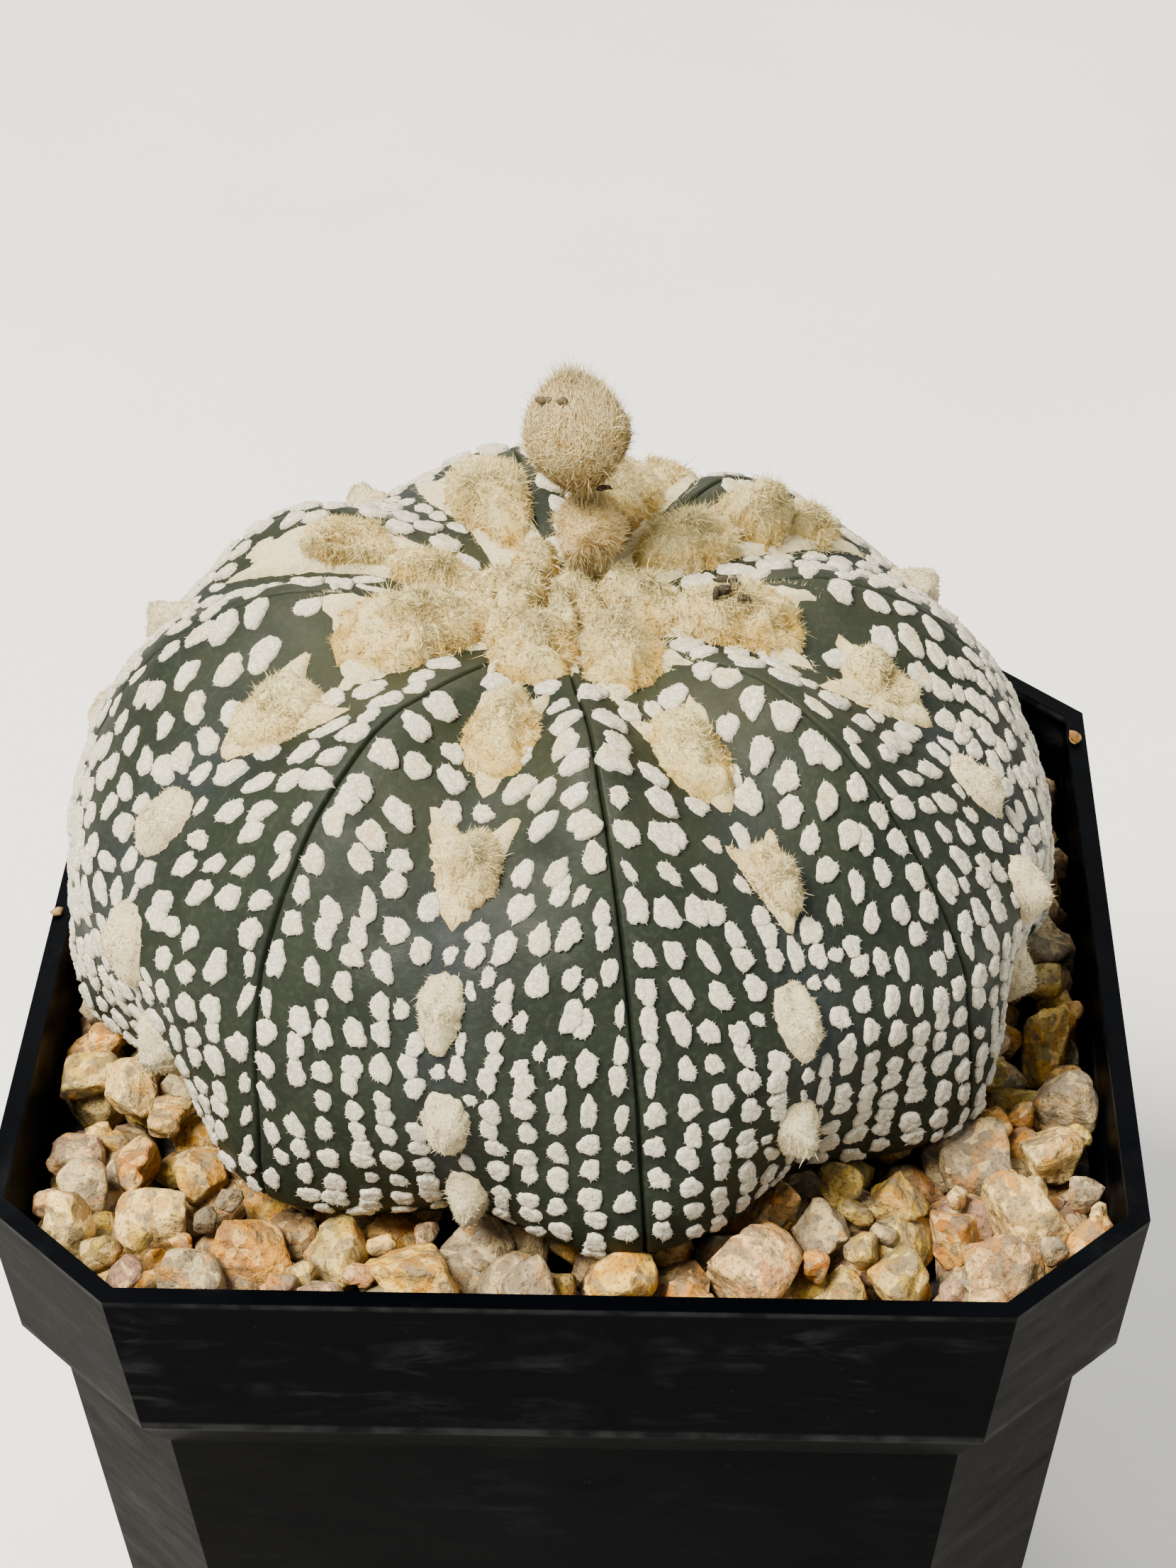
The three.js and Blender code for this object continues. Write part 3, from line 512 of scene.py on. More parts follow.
# Procedural material. Each method adds nodes and returns the socket that carries their result.
class Paint:
    def __init__(self, name):
        self.material = bpy.data.materials.new(name)
        self.material.use_nodes = True
        self.tree = self.material.node_tree
        self.shader = self.tree.nodes["Principled BSDF"]
        place = self.tree.nodes.new("ShaderNodeTexCoord").outputs["Object"]
        self.place = self.vector_math("SCALE", {0: place, "Scale": 1 / MM})

    def put(self, socket, value):
        if isinstance(value, bpy.types.NodeSocket):
            self.tree.links.new(value, socket)
        elif hasattr(value, "__len__") and len(value) == 3 and len(socket.default_value) == 4:
            socket.default_value = (*value, 1)
        else:
            socket.default_value = value

    def set(self, **values):
        for name, value in values.items():
            self.put(self.shader.inputs[name.replace("_", " ")], value)

    # Gives a node values or links for its inputs, by name or number
    def fill(self, node, inputs):
        for name, value in inputs.items():
            self.put(node.inputs[name], value)
        return node.outputs

    def vector_math(self, operation, inputs):
        node = self.tree.nodes.new("ShaderNodeVectorMath")
        node.operation = operation
        return self.fill(node, inputs)["Vector"]

    # Place of the shaded point, shifted and then stretched
    def moved(self, stretch, shift):
        place = self.place
        if shift is not None:
            place = self.vector_math("ADD", {0: place, 1: shift})
        if stretch is not None:
            place = self.vector_math("MULTIPLY", {0: place, 1: stretch})
        return place

    # Fine noise with features of a size in millimetres
    def noise(self, size, detail=2.0, roughness=0.5, stretch=None, shift=None, distortion=0.0):
        node = self.tree.nodes.new("ShaderNodeTexNoise")
        look = {"Scale": 1 / size, "Detail": detail, "Roughness": roughness, "Distortion": distortion}
        return self.fill(node, {"Vector": self.moved(stretch, shift), **look})["Fac"]

    def cells(self, size, shift, output="Color"):
        node = self.tree.nodes.new("ShaderNodeTexVoronoi")
        return self.fill(node, {"Vector": self.moved(None, shift), "Scale": 1 / size})[output]

    # Height above the ground in millimetres
    def height(self):
        return self.fill(self.tree.nodes.new("ShaderNodeSeparateXYZ"), {0: self.place})["Z"]

    def attribute(self, name, output="Fac"):
        node = self.tree.nodes.new("ShaderNodeAttribute")
        node.attribute_name = name
        return node.outputs[output]

    # Value mapped from one range to another, held at its ends
    def map(self, value, low, high, to_low=0.0, to_high=1.0):
        node = self.tree.nodes.new("ShaderNodeMapRange")
        ends = {"From Min": low, "From Max": high, "To Min": to_low, "To Max": to_high}
        return self.fill(node, {"Value": value, **ends})["Result"]

    def math(self, operation, a, b):
        node = self.tree.nodes.new("ShaderNodeMath")
        node.operation = operation
        return self.fill(node, {0: a, 1: b})["Value"]

    def times(self, a, b):
        return self.math("MULTIPLY", a, b)

    def plus(self, a, b):
        return self.math("ADD", a, b)

    # Rises from 0 at the first height to 1 at the second, and falls back between the last two
    def band(self, value, start, full, still_full, end):
        return self.times(self.map(value, start, full), self.map(value, end, still_full))

    def mix(self, share, a, b):
        node = self.tree.nodes.new("ShaderNodeMix")
        node.data_type = "RGBA"
        return self.fill(node, {0: share, 6: a, 7: b})[2]

    def bump(self, height, depth, strength=1.0, below=None):
        node = self.tree.nodes.new("ShaderNodeBump")
        inputs = {"Strength": strength, "Distance": depth * MM, "Height": height}
        if below is not None:
            inputs["Normal"] = below
        return self.fill(node, inputs)["Normal"]


def green_skin():
    dark = (0.0042, 0.0072, 0.0030)
    fresh = (0.0085, 0.0128, 0.0056)
    young_tint = (0.024, 0.026, 0.0105)
    bloom_tint = (0.010, 0.0135, 0.0135)
    dot_tint = (0.032, 0.040, 0.024)
    paint = Paint("cactus_skin")
    base = paint.mix(paint.map(paint.noise(5, 3), 0.35, 0.7), dark, fresh)
    # Lighter, yellower patches towards the crown
    young = paint.times(paint.attribute("young"), paint.map(paint.noise(9, 2), 0.35, 0.65))
    base = paint.mix(young, base, young_tint)
    base = paint.mix(paint.attribute("bloom"), base, bloom_tint)
    base = paint.mix(paint.map(paint.noise(0.5, 2), 0.5, 0.75, 0, 0.3), base, dot_tint)
    fine = paint.noise(0.28, 3, 0.6)
    paint.set(Base_Color=base, Roughness=paint.map(paint.noise(3), 0.3, 0.7, 0.55, 0.75))
    paint.set(Specular_IOR_Level=0.2, Normal=paint.bump(fine, 0.05, 0.8))
    return paint.material


# Finish that felt and wool share: matt with a slight sheen, and strands in relief
def finish_wool(paint, base, strands, sheen_roughness, depth):
    paint.set(Base_Color=base, Roughness=0.95, Sheen_Weight=0.08, Sheen_Roughness=sheen_roughness)
    paint.set(Specular_IOR_Level=0.1, Normal=paint.bump(strands, depth))
    return paint.material


def white_felt():
    white = (0.86, 0.82, 0.66)
    cream = (0.82, 0.62, 0.28)
    shaded = (0.40, 0.33, 0.20)
    paint = Paint("fleck_felt")
    creamy = paint.times(paint.attribute("cream"), paint.map(paint.noise(0.9, 2), 0.3, 0.6))
    base = paint.mix(creamy, white, cream)
    strands = paint.noise(0.3, 4, 0.75, distortion=1.6)
    # Painted shade: the shaded colour darkens the low parts of the strands' bump, the creases between them
    base = paint.mix(paint.map(strands, 0.38, 0.6, 0.75, 0), base, shaded)
    return finish_wool(paint, base, strands, 0.6, 0.3)


def cream_wool(name, deep, middle, top):
    bleached = (0.93, 0.87, 0.62)
    soil = (0.045, 0.028, 0.008)
    paint = Paint(name)
    # Painted shade: colour runs from deep to top with the depth attribute; on the tufts and the crown this is
    # golden in the hollows and at the hair roots, pale on the tops and tips
    depth = paint.plus(paint.attribute("depth"), paint.map(paint.noise(1.6, 3), 0.3, 0.7, -0.18, 0.38))
    base = paint.mix(paint.map(depth, 0.0, 0.45), deep, middle)
    base = paint.mix(paint.map(depth, 0.4, 0.95), base, top)
    base = paint.mix(paint.times(paint.attribute("white"), 0.75), base, bleached)
    strands = paint.noise(0.26, 5, 0.75, distortion=2.0)
    # Painted shade: the deep colour in the creases of the strands' bump
    base = paint.mix(paint.map(strands, 0.36, 0.6, 0.5, 0), base, deep)
    base = paint.mix(paint.attribute("dirt"), base, soil)
    return finish_wool(paint, base, strands, 0.5, 0.34)


def granite():
    pale_grain = (0.84, 0.63, 0.26)
    dark_grain = (0.15, 0.105, 0.05)
    rust_tint = (0.50, 0.205, 0.018)
    quartz_tint = (0.19, 0.145, 0.08)
    pit_shade = (0.09, 0.05, 0.018)
    paint = Paint("granite_grit")
    shift = paint.attribute("shift", "Vector")
    coarse = paint.map(paint.noise(2.6, 4, 0.6, shift=shift, distortion=0.6), 0.45, 0.55)
    base = paint.mix(coarse, paint.attribute("tint", "Vector"), paint.attribute("second", "Vector"))
    grain = paint.cells(1.0, shift)
    base = paint.mix(paint.map(grain, 0.58, 0.64, 0, 0.34), base, pale_grain)
    base = paint.mix(paint.map(grain, 0.42, 0.36, 0, 0.55), base, dark_grain)
    rust = paint.map(paint.noise(2.2, 3, shift=shift), 0.54, 0.66, 0, 0.6)
    base = paint.mix(rust, base, rust_tint)
    quartz = paint.map(paint.noise(1.5, 3, shift=shift), 0.55, 0.61)
    base = paint.mix(paint.times(quartz, 0.75), base, quartz_tint)
    # Painted shade: dark colour in the pits of the fine bump
    pits = paint.noise(0.35, 4, 0.7, shift=shift)
    base = paint.mix(paint.map(pits, 0.34, 0.48, 0.8, 0), base, pit_shade)
    paint.set(Base_Color=base, Roughness=paint.map(quartz, 0, 1, 0.8, 0.42), Specular_IOR_Level=0.3)
    bumps = paint.bump(paint.cells(0.85, shift, "Distance"), 0.35, 0.7)
    paint.set(Normal=paint.bump(pits, 0.3, 0.9, bumps))
    return paint.material


def black_plastic():
    black = (0.00025, 0.0005, 0.0010)
    dust_and_highlight_tint = (0.12, 0.125, 0.13)
    soil = (0.020, 0.012, 0.006)
    paint = Paint("pot_plastic")
    streaks = paint.noise(3.2, 5, 0.65, stretch=(0.35, 0.35, 1.4), distortion=0.5)
    patches = paint.noise(13, 3, 0.6)
    dust = paint.times(paint.map(streaks, 0.5, 0.75), paint.map(patches, 0.45, 0.68))
    specks = paint.map(paint.noise(0.7, 2), 0.74, 0.78, 0, 0.35)
    # More dust on the collar, and painted highlight lines along the rim and the collar's ledge
    up = paint.height()
    collar = paint.band(up, 63, 66, 73, 75)
    dust = paint.times(dust, paint.map(collar, 0, 1, 0.05, 0.17))
    dust = paint.plus(dust, paint.times(specks, 0.1))
    rim = paint.band(up, 75.3, 75.6, 75.85, 75.98)
    ledge = paint.band(up, 61.6, 61.9, 62.6, 62.9)
    edges = paint.plus(rim, ledge)
    # Painted highlight: pale patchy lines on the rim and the ledge, mixed in with the dust
    painted_edge_highlight = paint.times(edges, paint.map(paint.noise(2.5, 4), 0.4, 0.65, 0.02, 0.10))
    base = paint.mix(paint.plus(dust, painted_edge_highlight), black, dust_and_highlight_tint)
    soiled = paint.map(paint.noise(4, 4), 0.48, 0.62, 0, 0.7)
    base = paint.mix(paint.times(paint.attribute("inner"), soiled), base, soil)
    paint.set(Base_Color=base, Roughness=paint.map(streaks, 0.3, 0.75, 0.36, 0.55))
    paint.set(Specular_IOR_Level=0.012, Normal=paint.bump(paint.noise(0.6, 3, 0.6), 0.03, 0.6))
    return paint.material


def dark_mix():
    dark = (0.010, 0.007, 0.005)
    light = (0.07, 0.045, 0.03)
    paint = Paint("growing_mix")
    base = paint.mix(paint.map(paint.noise(1.2, 4), 0.4, 0.62), dark, light)
    paint.set(Base_Color=base, Roughness=0.95, Normal=paint.bump(paint.noise(1.0, 4), 0.8))
    return paint.material


def pale_floor():
    dull = (0.73, 0.71, 0.66)
    bright = (0.77, 0.75, 0.70)
    paint = Paint("floor")
    base = paint.mix(paint.map(paint.noise(60, 3), 0.3, 0.7), dull, bright)
    paint.set(Base_Color=base, Roughness=0.85, Normal=paint.bump(paint.noise(0.9, 3), 0.05, 0.4))
    return paint.material


# Direction of a rib's areole line
def rib_line(rib):
    return FIRST_SUTURE + (rib - 0.5) * RIB_ANGLE


# Outline of one tuft: the young ones have horns, and those next to the crown are the longest
def tuft_outline(rib, distance):
    if (rib, distance) == LATE_HORNED:
        return scaled(HORNED_OUTLINE, 0.62, 0.86)
    if distance >= HORNED_UNTIL:
        return scaled(OVAL_OUTLINE, 1.05, 1.08)
    long = lerp(1.15, 0.95, float(smooth(18, 26, distance)))
    return scaled(HORNED_OUTLINE, lerp(0.86, 1.0, float(smooth(15, 26, distance))), long)


def scaled(outline, across, down):
    return [(x * across, y * down) for x, y in outline]


# Lines round the plant, crowded together at the sutures
def skin_directions(per_rib):
    share = np.arange(per_rib) / per_rib
    eased = share - 0.93 * np.sin(2 * np.pi * share) / (2 * np.pi)
    return np.concatenate([FIRST_SUTURE + (rib + eased) * RIB_ANGLE for rib in range(RIBS)])


def make_skin():
    directions = skin_directions(LINES_PER_RIB)
    distances = np.concatenate([np.linspace(0.5, 10, 16, endpoint=False), np.linspace(10, MERIDIAN, 150)])
    grid = on_skin(directions[None, :], distances[:, None], 0.0)
    rows = [grid]
    for ratio, depth in UNDERSIDE:
        radius = BODY_RADIUS * FOOT_RATIO * ratio
        rows.append(lobed_point(directions, radius, POT_HEIGHT - depth, 1.0, ratio ** 2)[None])
    for radius, depth in TAPROOT:
        ring = np.stack([radius * np.sin(directions), -radius * np.cos(directions)], -1) + AXIS_BASE
        rows.append(np.concatenate([ring, np.full((len(directions), 1), POT_HEIGHT - depth)], -1)[None])
    points = np.concatenate(rows)
    count = len(directions)
    flat = np.concatenate([points.reshape(-1, 3), on_skin(0.0, 0.0, 0.0)[None], points[-1].mean(0)[None]])
    top = len(flat) - 2
    quads = ring_quads(len(points), count)
    caps = [fan(top, 0, count), fan(top + 1, top - count, count)[:, ::-1]]
    # Grey bloom along the areole lines, and a lighter, yellower tint towards the crown
    lines = across_from(FIRST_SUTURE + RIB_ANGLE / 2, directions[None, :], distances[:, None])
    bloom = np.zeros(len(flat))
    young = np.zeros(len(flat))
    near = np.exp(-((lines / 2.6) ** 2)) * smooth(18, 30, distances)[:, None]
    bloom[: near.size] = (0.85 * near).ravel()
    fade = 1 - smooth(8, 40, distances)
    young[: near.size] = np.repeat(fade, count)
    heap = Heap()
    heap.add(flat, [quads, caps[0], caps[1]], bloom=bloom, young=young)
    return heap


# Half the width of an arm of crown wool at a distance from the growing point
def arm_half_width(distance, reach):
    wide = lerp(2.3, 3.7, smooth(0.5, 0.9, distance / reach))
    return wide * (1 - 0.5 * smooth(18, 28, distance))


def arm_drift(rib, distance):
    return ARM_DRIFT[rib] * np.minimum(distance / DRIFT_DISTANCE, 1)


# Room round a place on a rib, up to the nearest suture, tuft or wool
def room_at(rib, across, distance):
    room = radius_at(distance) * RIB_ANGLE / 2 - SUTURE_MARGIN - abs(across)
    reach = ARM_REACH[rib]
    room = min(room, distance - BARE_CROWN)
    if distance < reach + 3:
        half_width = arm_half_width(min(distance, reach), reach)
        beside = abs(across - arm_drift(rib, distance)) - half_width - WOOL_MARGIN
        room = min(room, max(beside, distance - reach - 0.9))
    for where, offset in TUFTS[rib]:
        x, y = across - offset, distance - where
        if abs(y) < 10:
            angle = np.array([math.atan2(x, y)])
            tuft = outline_reach(tuft_outline(rib, where), angle)[0]
            room = min(room, math.hypot(x, y) - tuft - TUFT_MARGIN)
    return room


# Flecks as rib, place across and down, half width, half length and turn
def fleck_places(random):
    places = []

    def put(rib, across, distance, half_width, half_length, turn):
        room = room_at(rib, across, distance)
        shrink = min(1.0, room / (0.9 * half_width))
        if shrink > 0.36:
            half_length *= lerp(1, shrink, 0.35)
            places.append((rib, across, distance, half_width * shrink, half_length, turn))

    for rib in range(RIBS):
        for side in (-1, 1):
            for column in range(MOST_COLUMNS):
                distance = 8.5 + random.uniform(0, 3)
                while distance < MERIDIAN - 0.4:
                    late = float(smooth(16, 42, distance))
                    half_length = lerp(*FLECK_LENGTH, late) * random.uniform(0.78, 1.22)
                    half_width = lerp(*FLECK_WIDTH, late) * random.uniform(0.8, 1.14)
                    pitch = lerp(*FLECK_PITCH, float(smooth(12, 42, distance)))
                    edge = float(radius_at(distance)) * RIB_ANGLE / 2 - 0.1
                    slots = max(round(edge / pitch - 0.25), 1)
                    spacing = edge / (slots + 0.25)
                    across = (column + 0.74) * spacing + random.normal(0, 0.14)
                    last = column == slots - 1
                    if last and random.random() < 0.3:
                        half_width *= 0.62
                        across += 0.35
                    at = np.array([column * 5.0, distance, rib * 31.0 + side * 9.0])
                    threshold = 0.5 if last and distance > 40 else 0.85
                    bare = noise(at, 5.0, 5) > threshold or random.random() < 0.02
                    if column < slots and not bare:
                        turn = random.normal(0, 0.24) - side * 0.15 * late
                        put(rib, side * across, distance, half_width, half_length, turn)
                    chained = random.random() < lerp(0.04, 0.36, late)
                    gap = -0.2 if chained else random.uniform(0.45, 1.0)
                    distance += half_length * 2 + gap
        # One row of narrow ones along the areole line
        distance = 12.0
        while distance < MERIDIAN - 1:
            size = random.uniform(0.9, 1.4)
            put(rib, 0.0, distance, 0.58, size, 0.0)
            distance += 2 * size + random.uniform(0.3, 0.9)
        # Smaller ones wherever a gap is left
        for _ in range(FILLER_TRIES):
            distance = random.uniform(8, MERIDIAN - 1)
            edge = float(radius_at(distance)) * RIB_ANGLE / 2
            across = random.uniform(-edge, edge)
            late = float(smooth(16, 42, distance))
            size = lerp(*FILLER_SIZE, late) * random.uniform(0.72, 1.15)
            stretch = random.uniform(0.9, 1.4)
            mine = np.array([place[1:5] for place in places if place[0] == rib])
            wide = mine[:, 2] + size + 0.3
            long = mine[:, 3] + size * stretch + 0.3
            apart = np.hypot((mine[:, 0] - across) / wide, (mine[:, 1] - distance) / long).min()
            spare = room_at(rib, across, distance) if apart > 1 else 0
            if spare > 0.8 * size:
                places.append((rib, across, distance, size, size * stretch, random.normal(0, 0.3)))
    return places


# Raised ragged pads of felt with a fringe of short hairs
def make_flecks(places, random):
    rib, across, distance, half_width, half_length, turn = np.array(places).T
    count = len(places)
    radius = radius_at(distance)
    direction = rib_line(rib) + across / radius
    angles = turns(FLECK_POINTS)
    phase = random.uniform(0, 2 * np.pi, (4, count, 1))
    square = np.abs(np.sin(angles)) ** SQUARENESS + np.abs(np.cos(angles)) ** SQUARENESS
    square = square ** (-1 / SQUARENESS)
    edge = square * (1 + 0.08 * np.sin(2 * angles + phase[0]) + 0.08 * np.sin(3 * angles + phase[1]))
    edge += 0.05 * np.sin(5 * angles + phase[2])
    teeth = 0.1 * random.uniform(-1, 1, (count, FLECK_POINTS))
    height = (0.4 * np.clip(half_width, 0.5, 1.1) * (1 + 0.25 * random.uniform(-1, 1, count)))[:, None]
    rings = []
    for share, rise, rough in FLECK_RINGS:
        reach = (edge + teeth * rough) * share
        x = np.sin(angles) * reach * half_width[:, None]
        y = np.cos(angles) * reach * half_length[:, None]
        cos, sin = np.cos(turn)[:, None], np.sin(turn)[:, None]
        x, y = x * cos + y * sin, y * cos - x * sin
        lift = np.where(rise < 0, rise, height * rise * (1 + 0.2 * random.uniform(-1, 1, x.shape)))
        down = np.minimum(distance[:, None] + y, MERIDIAN)
        rings.append(on_skin(direction[:, None] + x / radius[:, None], down, lift))
    centre = on_skin(direction, distance, height[:, 0] * 0.85)[:, None]
    points = np.concatenate(rings + [centre], 1)
    one = points.shape[1]
    quads = ring_quads(len(FLECK_RINGS), FLECK_POINTS)[:, ::-1]
    cap = fan(one - 1, one - 1 - FLECK_POINTS, FLECK_POINTS)
    first = np.arange(count)[:, None, None] * one
    creamy = random.random(count) < 0.55
    cream = np.where(creamy, random.uniform(0.3, 1.0, count), random.uniform(0, 0.3, count))
    cream = (cream * (1 - 0.85 * smooth(28, 44, distance)))[:, None]
    inner = np.repeat([0, 0, 0.6, 1.0, 1.0], [FLECK_POINTS] * len(FLECK_RINGS) + [1])
    heap = Heap()
    faces = [(quads[None] + first).reshape(-1, 4), (cap[None] + first).reshape(-1, 3)]
    heap.add(points, faces, cream=(cream * inner).ravel())
    pick = random.integers(0, FLECK_POINTS, (count, FLECK_HAIRS))
    roots = np.take_along_axis(rings[1], pick[:, :, None], 1)
    away = scattered(unit(roots - centre), 0.5, random).reshape(-1, 3)
    size = random.uniform(0.08, 0.26, count * FLECK_HAIRS)
    fuzz(heap, roots.reshape(-1, 3), away, size, random, cream=(0, 0))
    return heap


# Fluffy mound of wool over an outline, given across and down the skin from its middle. A boss is a
# second bump on it: place across and down, size and lift. Rings and around set the mesh, fluff its
# lumps and fur the length of its hairs.
def mound(heap, direction, distance, outline, height, random, boss=None, *, hairs, fur, white=0.0, around=44,
          base=0.0, rings=10, fluff=1.0):
    angles = turns(around)
    reach = outline_reach(outline, angles)
    reach = (2 * reach + np.roll(reach, 1) + np.roll(reach, -1)) / 4
    reach = reach * (1 + 0.07 * random.uniform(-1, 1, around))
    share = np.linspace(1, 0, rings, endpoint=False)[:, None]
    x = np.sin(angles) * reach * share
    y = np.cos(angles) * reach * share
    profile = height * np.clip(1 - share ** 1.9, 0, 1) ** 0.72 * np.ones_like(x)
    centre_rise = height
    if boss:
        bx, by, size, lift = boss
        bump = np.exp(-(((x - bx) ** 2 + (y - by) ** 2) / size ** 2))
        profile = profile + lift * bump * smooth(1, 0.7, share)
        centre_rise += lift * math.exp(-((bx ** 2 + by ** 2) / size ** 2))
    radius = max(float(radius_at(distance)), 2.0)
    down = np.clip(distance + y, 0, MERIDIAN)
    ground = on_skin(direction + x / radius, down, base)
    lumps = 0.4 * noise(ground, 2.1, 7) + 0.34 * noise(ground, 1.0, 8) + 0.16 * noise(ground, 0.5, 9)
    lumps = fluff * lumps
    sunk = 0.25 * (share >= 0.999)
    rise = base + profile + lumps * np.minimum(height, 2.2) * smooth(1, 0.8, share) - sunk
    grid = on_skin(direction + x / radius, down, rise)
    top = on_skin(direction, distance, base + centre_rise)
    points = np.concatenate([grid.reshape(-1, 3), top[None]])
    quads = ring_quads(rings, around)[:, ::-1]
    cap = fan(len(points) - 1, (rings - 1) * around, around)
    # Painted shade: the depth that sets the wool's colour falls towards the mound's edge and in the hollows
    # between its lumps
    hollow = np.clip(lumps * 1.2, -0.6, 0.3)
    depth = 0.85 * profile / (height + (boss[3] if boss else 0)) + hollow
    heap.add(points, [quads, cap], depth=np.append(depth.ravel(), 0.9), white=white, dirt=0.0)
    # Fibres that stand out of the surface and lean over each other
    round_way = np.roll(grid, -1, 1) - np.roll(grid, 1, 1)
    up_way = np.gradient(grid, axis=0)
    normals = unit(np.cross(up_way, round_way))
    skin_up = skin_normal(np.full(1, direction), np.full(1, float(distance)))[0]
    if (normals[rings // 2] @ skin_up).mean() < 0:
        normals = -normals
    edge = random.random(hairs) < 0.25
    row = np.where(edge, random.integers(0, 2, hairs), random.integers(0, rings - 1, hairs))
    column = random.integers(0, around, hairs)
    spread = random.random((hairs, 2))
    after = (column + 1) % around
    along = lerp(grid[row, column], grid[row, after], spread[:, :1])
    roots = lerp(along, grid[np.minimum(row + 1, rings - 1), column], spread[:, 1:] * 0.6)
    out = scattered(normals[row, column], 0.75, random)
    size = fur * random.uniform(0.25, 0.75, hairs) * np.where(edge, 0.7, 1.0)
    # Painted shade: hair roots take a deeper, darker value than their tips
    root_depth = np.clip(depth[row, column] * 0.8 + random.uniform(-0.3, 0.15, hairs), 0, 1)
    tip_depth = np.clip(root_depth + 0.65, 0, 1.2)
    fuzz(heap, roots, out, size, random, depth=(root_depth, tip_depth), white=(white, white), dirt=(0, 0))
    # Curled strands from a third of the roots
    count = hairs // 3
    lean_out = scattered(out[:count], 0.9, random)
    strand, faces = ribbons(roots[:count], lean_out, size[:count] * 1.4, CURL_WIDTH, 0.5, random)
    shade = np.clip(root_depth[:count] + random.uniform(0.1, 0.75, count), 0, 1.2)
    heap.add(strand, [faces], depth=np.repeat(shade, 5), white=white, dirt=0.0)


# Outline of an oval
def oval(across, down):
    angles = np.linspace(0, 2 * math.pi, 14, endpoint=False)
    return [(across * math.sin(angle), down * math.cos(angle)) for angle in angles]


# A young tuft is a horned pad of felt with a mound of wool on it, and an old one is a single mound
def make_tufts(random):
    heap = Heap()
    for rib, places in enumerate(TUFTS):
        for distance, offset in places:
            direction = rib_line(rib) + offset / float(radius_at(distance))
            outline = tuft_outline(rib, distance)
            late_horned = (rib, distance) == LATE_HORNED
            if distance < HORNED_UNTIL or late_horned:
                young = 1 - float(smooth(18, 27, distance))
                lean = random.uniform(-0.03, 0.03)
                pad = {"white": 0.45, "hairs": 1100, "around": 64, "fur": 0.5}
                mound(heap, direction, distance, outline, 0.8, random, **pad)
                wide = 1.4 if late_horned else lerp(2.0, 2.9, young)
                wool = oval(wide, lerp(3.3, 4.8, young))
                boss = (random.uniform(-0.6, 0.6), -1.2, 1.7, 0.8)
                white = lerp(0.35, 0.0, young)
                look = {"white": white, "hairs": 2200, "around": 56, "rings": 12, "fur": 0.66}
                mound(heap, direction + lean, distance + 0.3, wool, 2.0, random, boss, **look)
            else:
                boss = (0.0, 0.4, 1.3, 0.8)
                white = 0.4 + 0.6 * float(smooth(24, 36, distance))
                look = {"white": white, "hairs": 1300, "fluff": 0.8, "fur": 0.38}
                mound(heap, direction, distance, outline, 1.3, random, boss, **look)
    return heap


# Flat strip of felt along an areole line, ragged at its edges and horned at its outer end
def felt_strip(heap, rib, start, reach, random):
    last = STRIP_COLUMNS - 1
    columns = np.linspace(-1, 1, STRIP_COLUMNS)
    rows = np.linspace(0, 1, int((reach - start) / 0.55) + 2)
    end = reach + 1.9 * np.abs(columns) ** 3 - 0.9 * (1 - np.abs(columns))
    end = end + random.uniform(-0.4, 0.4, STRIP_COLUMNS)
    distance = lerp(start, end[None, :], rows[:, None])
    half = arm_half_width(distance, reach) * (1 + 0.05 * random.uniform(-1, 1, distance.shape))
    across = columns * half + arm_drift(rib, distance)
    direction = rib_line(rib) + across / np.maximum(radius_at(distance), 2.0)
    inside = np.minimum(1 - np.abs(columns)[None, :], (1 - rows)[:, None] * 3)
    lumps = 0.2 * noise(on_skin(direction, distance, 0.0), 0.9, 12)
    rise = np.where(inside <= 0, -0.2, 0.62 * smooth(0, 0.2, inside) + lumps)
    grid = on_skin(direction, distance, rise)
    here = np.arange(len(rows) - 1)[:, None] * STRIP_COLUMNS + np.arange(last)[None, :]
    below = here + STRIP_COLUMNS
    quads = np.stack([below, below + 1, here + 1, here], -1).reshape(-1, 4)
    heap.add(grid, [quads], depth=0.75, white=0.7, dirt=0.0)
    count = int((reach - start) * STRIP_HAIRS_PER_MM)
    row = random.integers(1, len(rows), count)
    column = np.where(random.random(count) < 0.5, 0, last)
    column = np.where(row == len(rows) - 1, random.integers(0, STRIP_COLUMNS, count), column)
    middle = grid[np.maximum(row - 3, 0), STRIP_COLUMNS // 2]
    roots = lerp(grid[row, column], grid[row - 1, column], random.random((count, 1))) + 0.1
    out = scattered(unit(roots - middle), 0.5, random)
    size = random.uniform(0.2, 0.65, count)
    # Painted shade: these hairs are darker at the root than at the tip
    fuzz(heap, roots, out, size, random, depth=(0.6, 0.9), white=(0.6, 0.6), dirt=(0, 0))


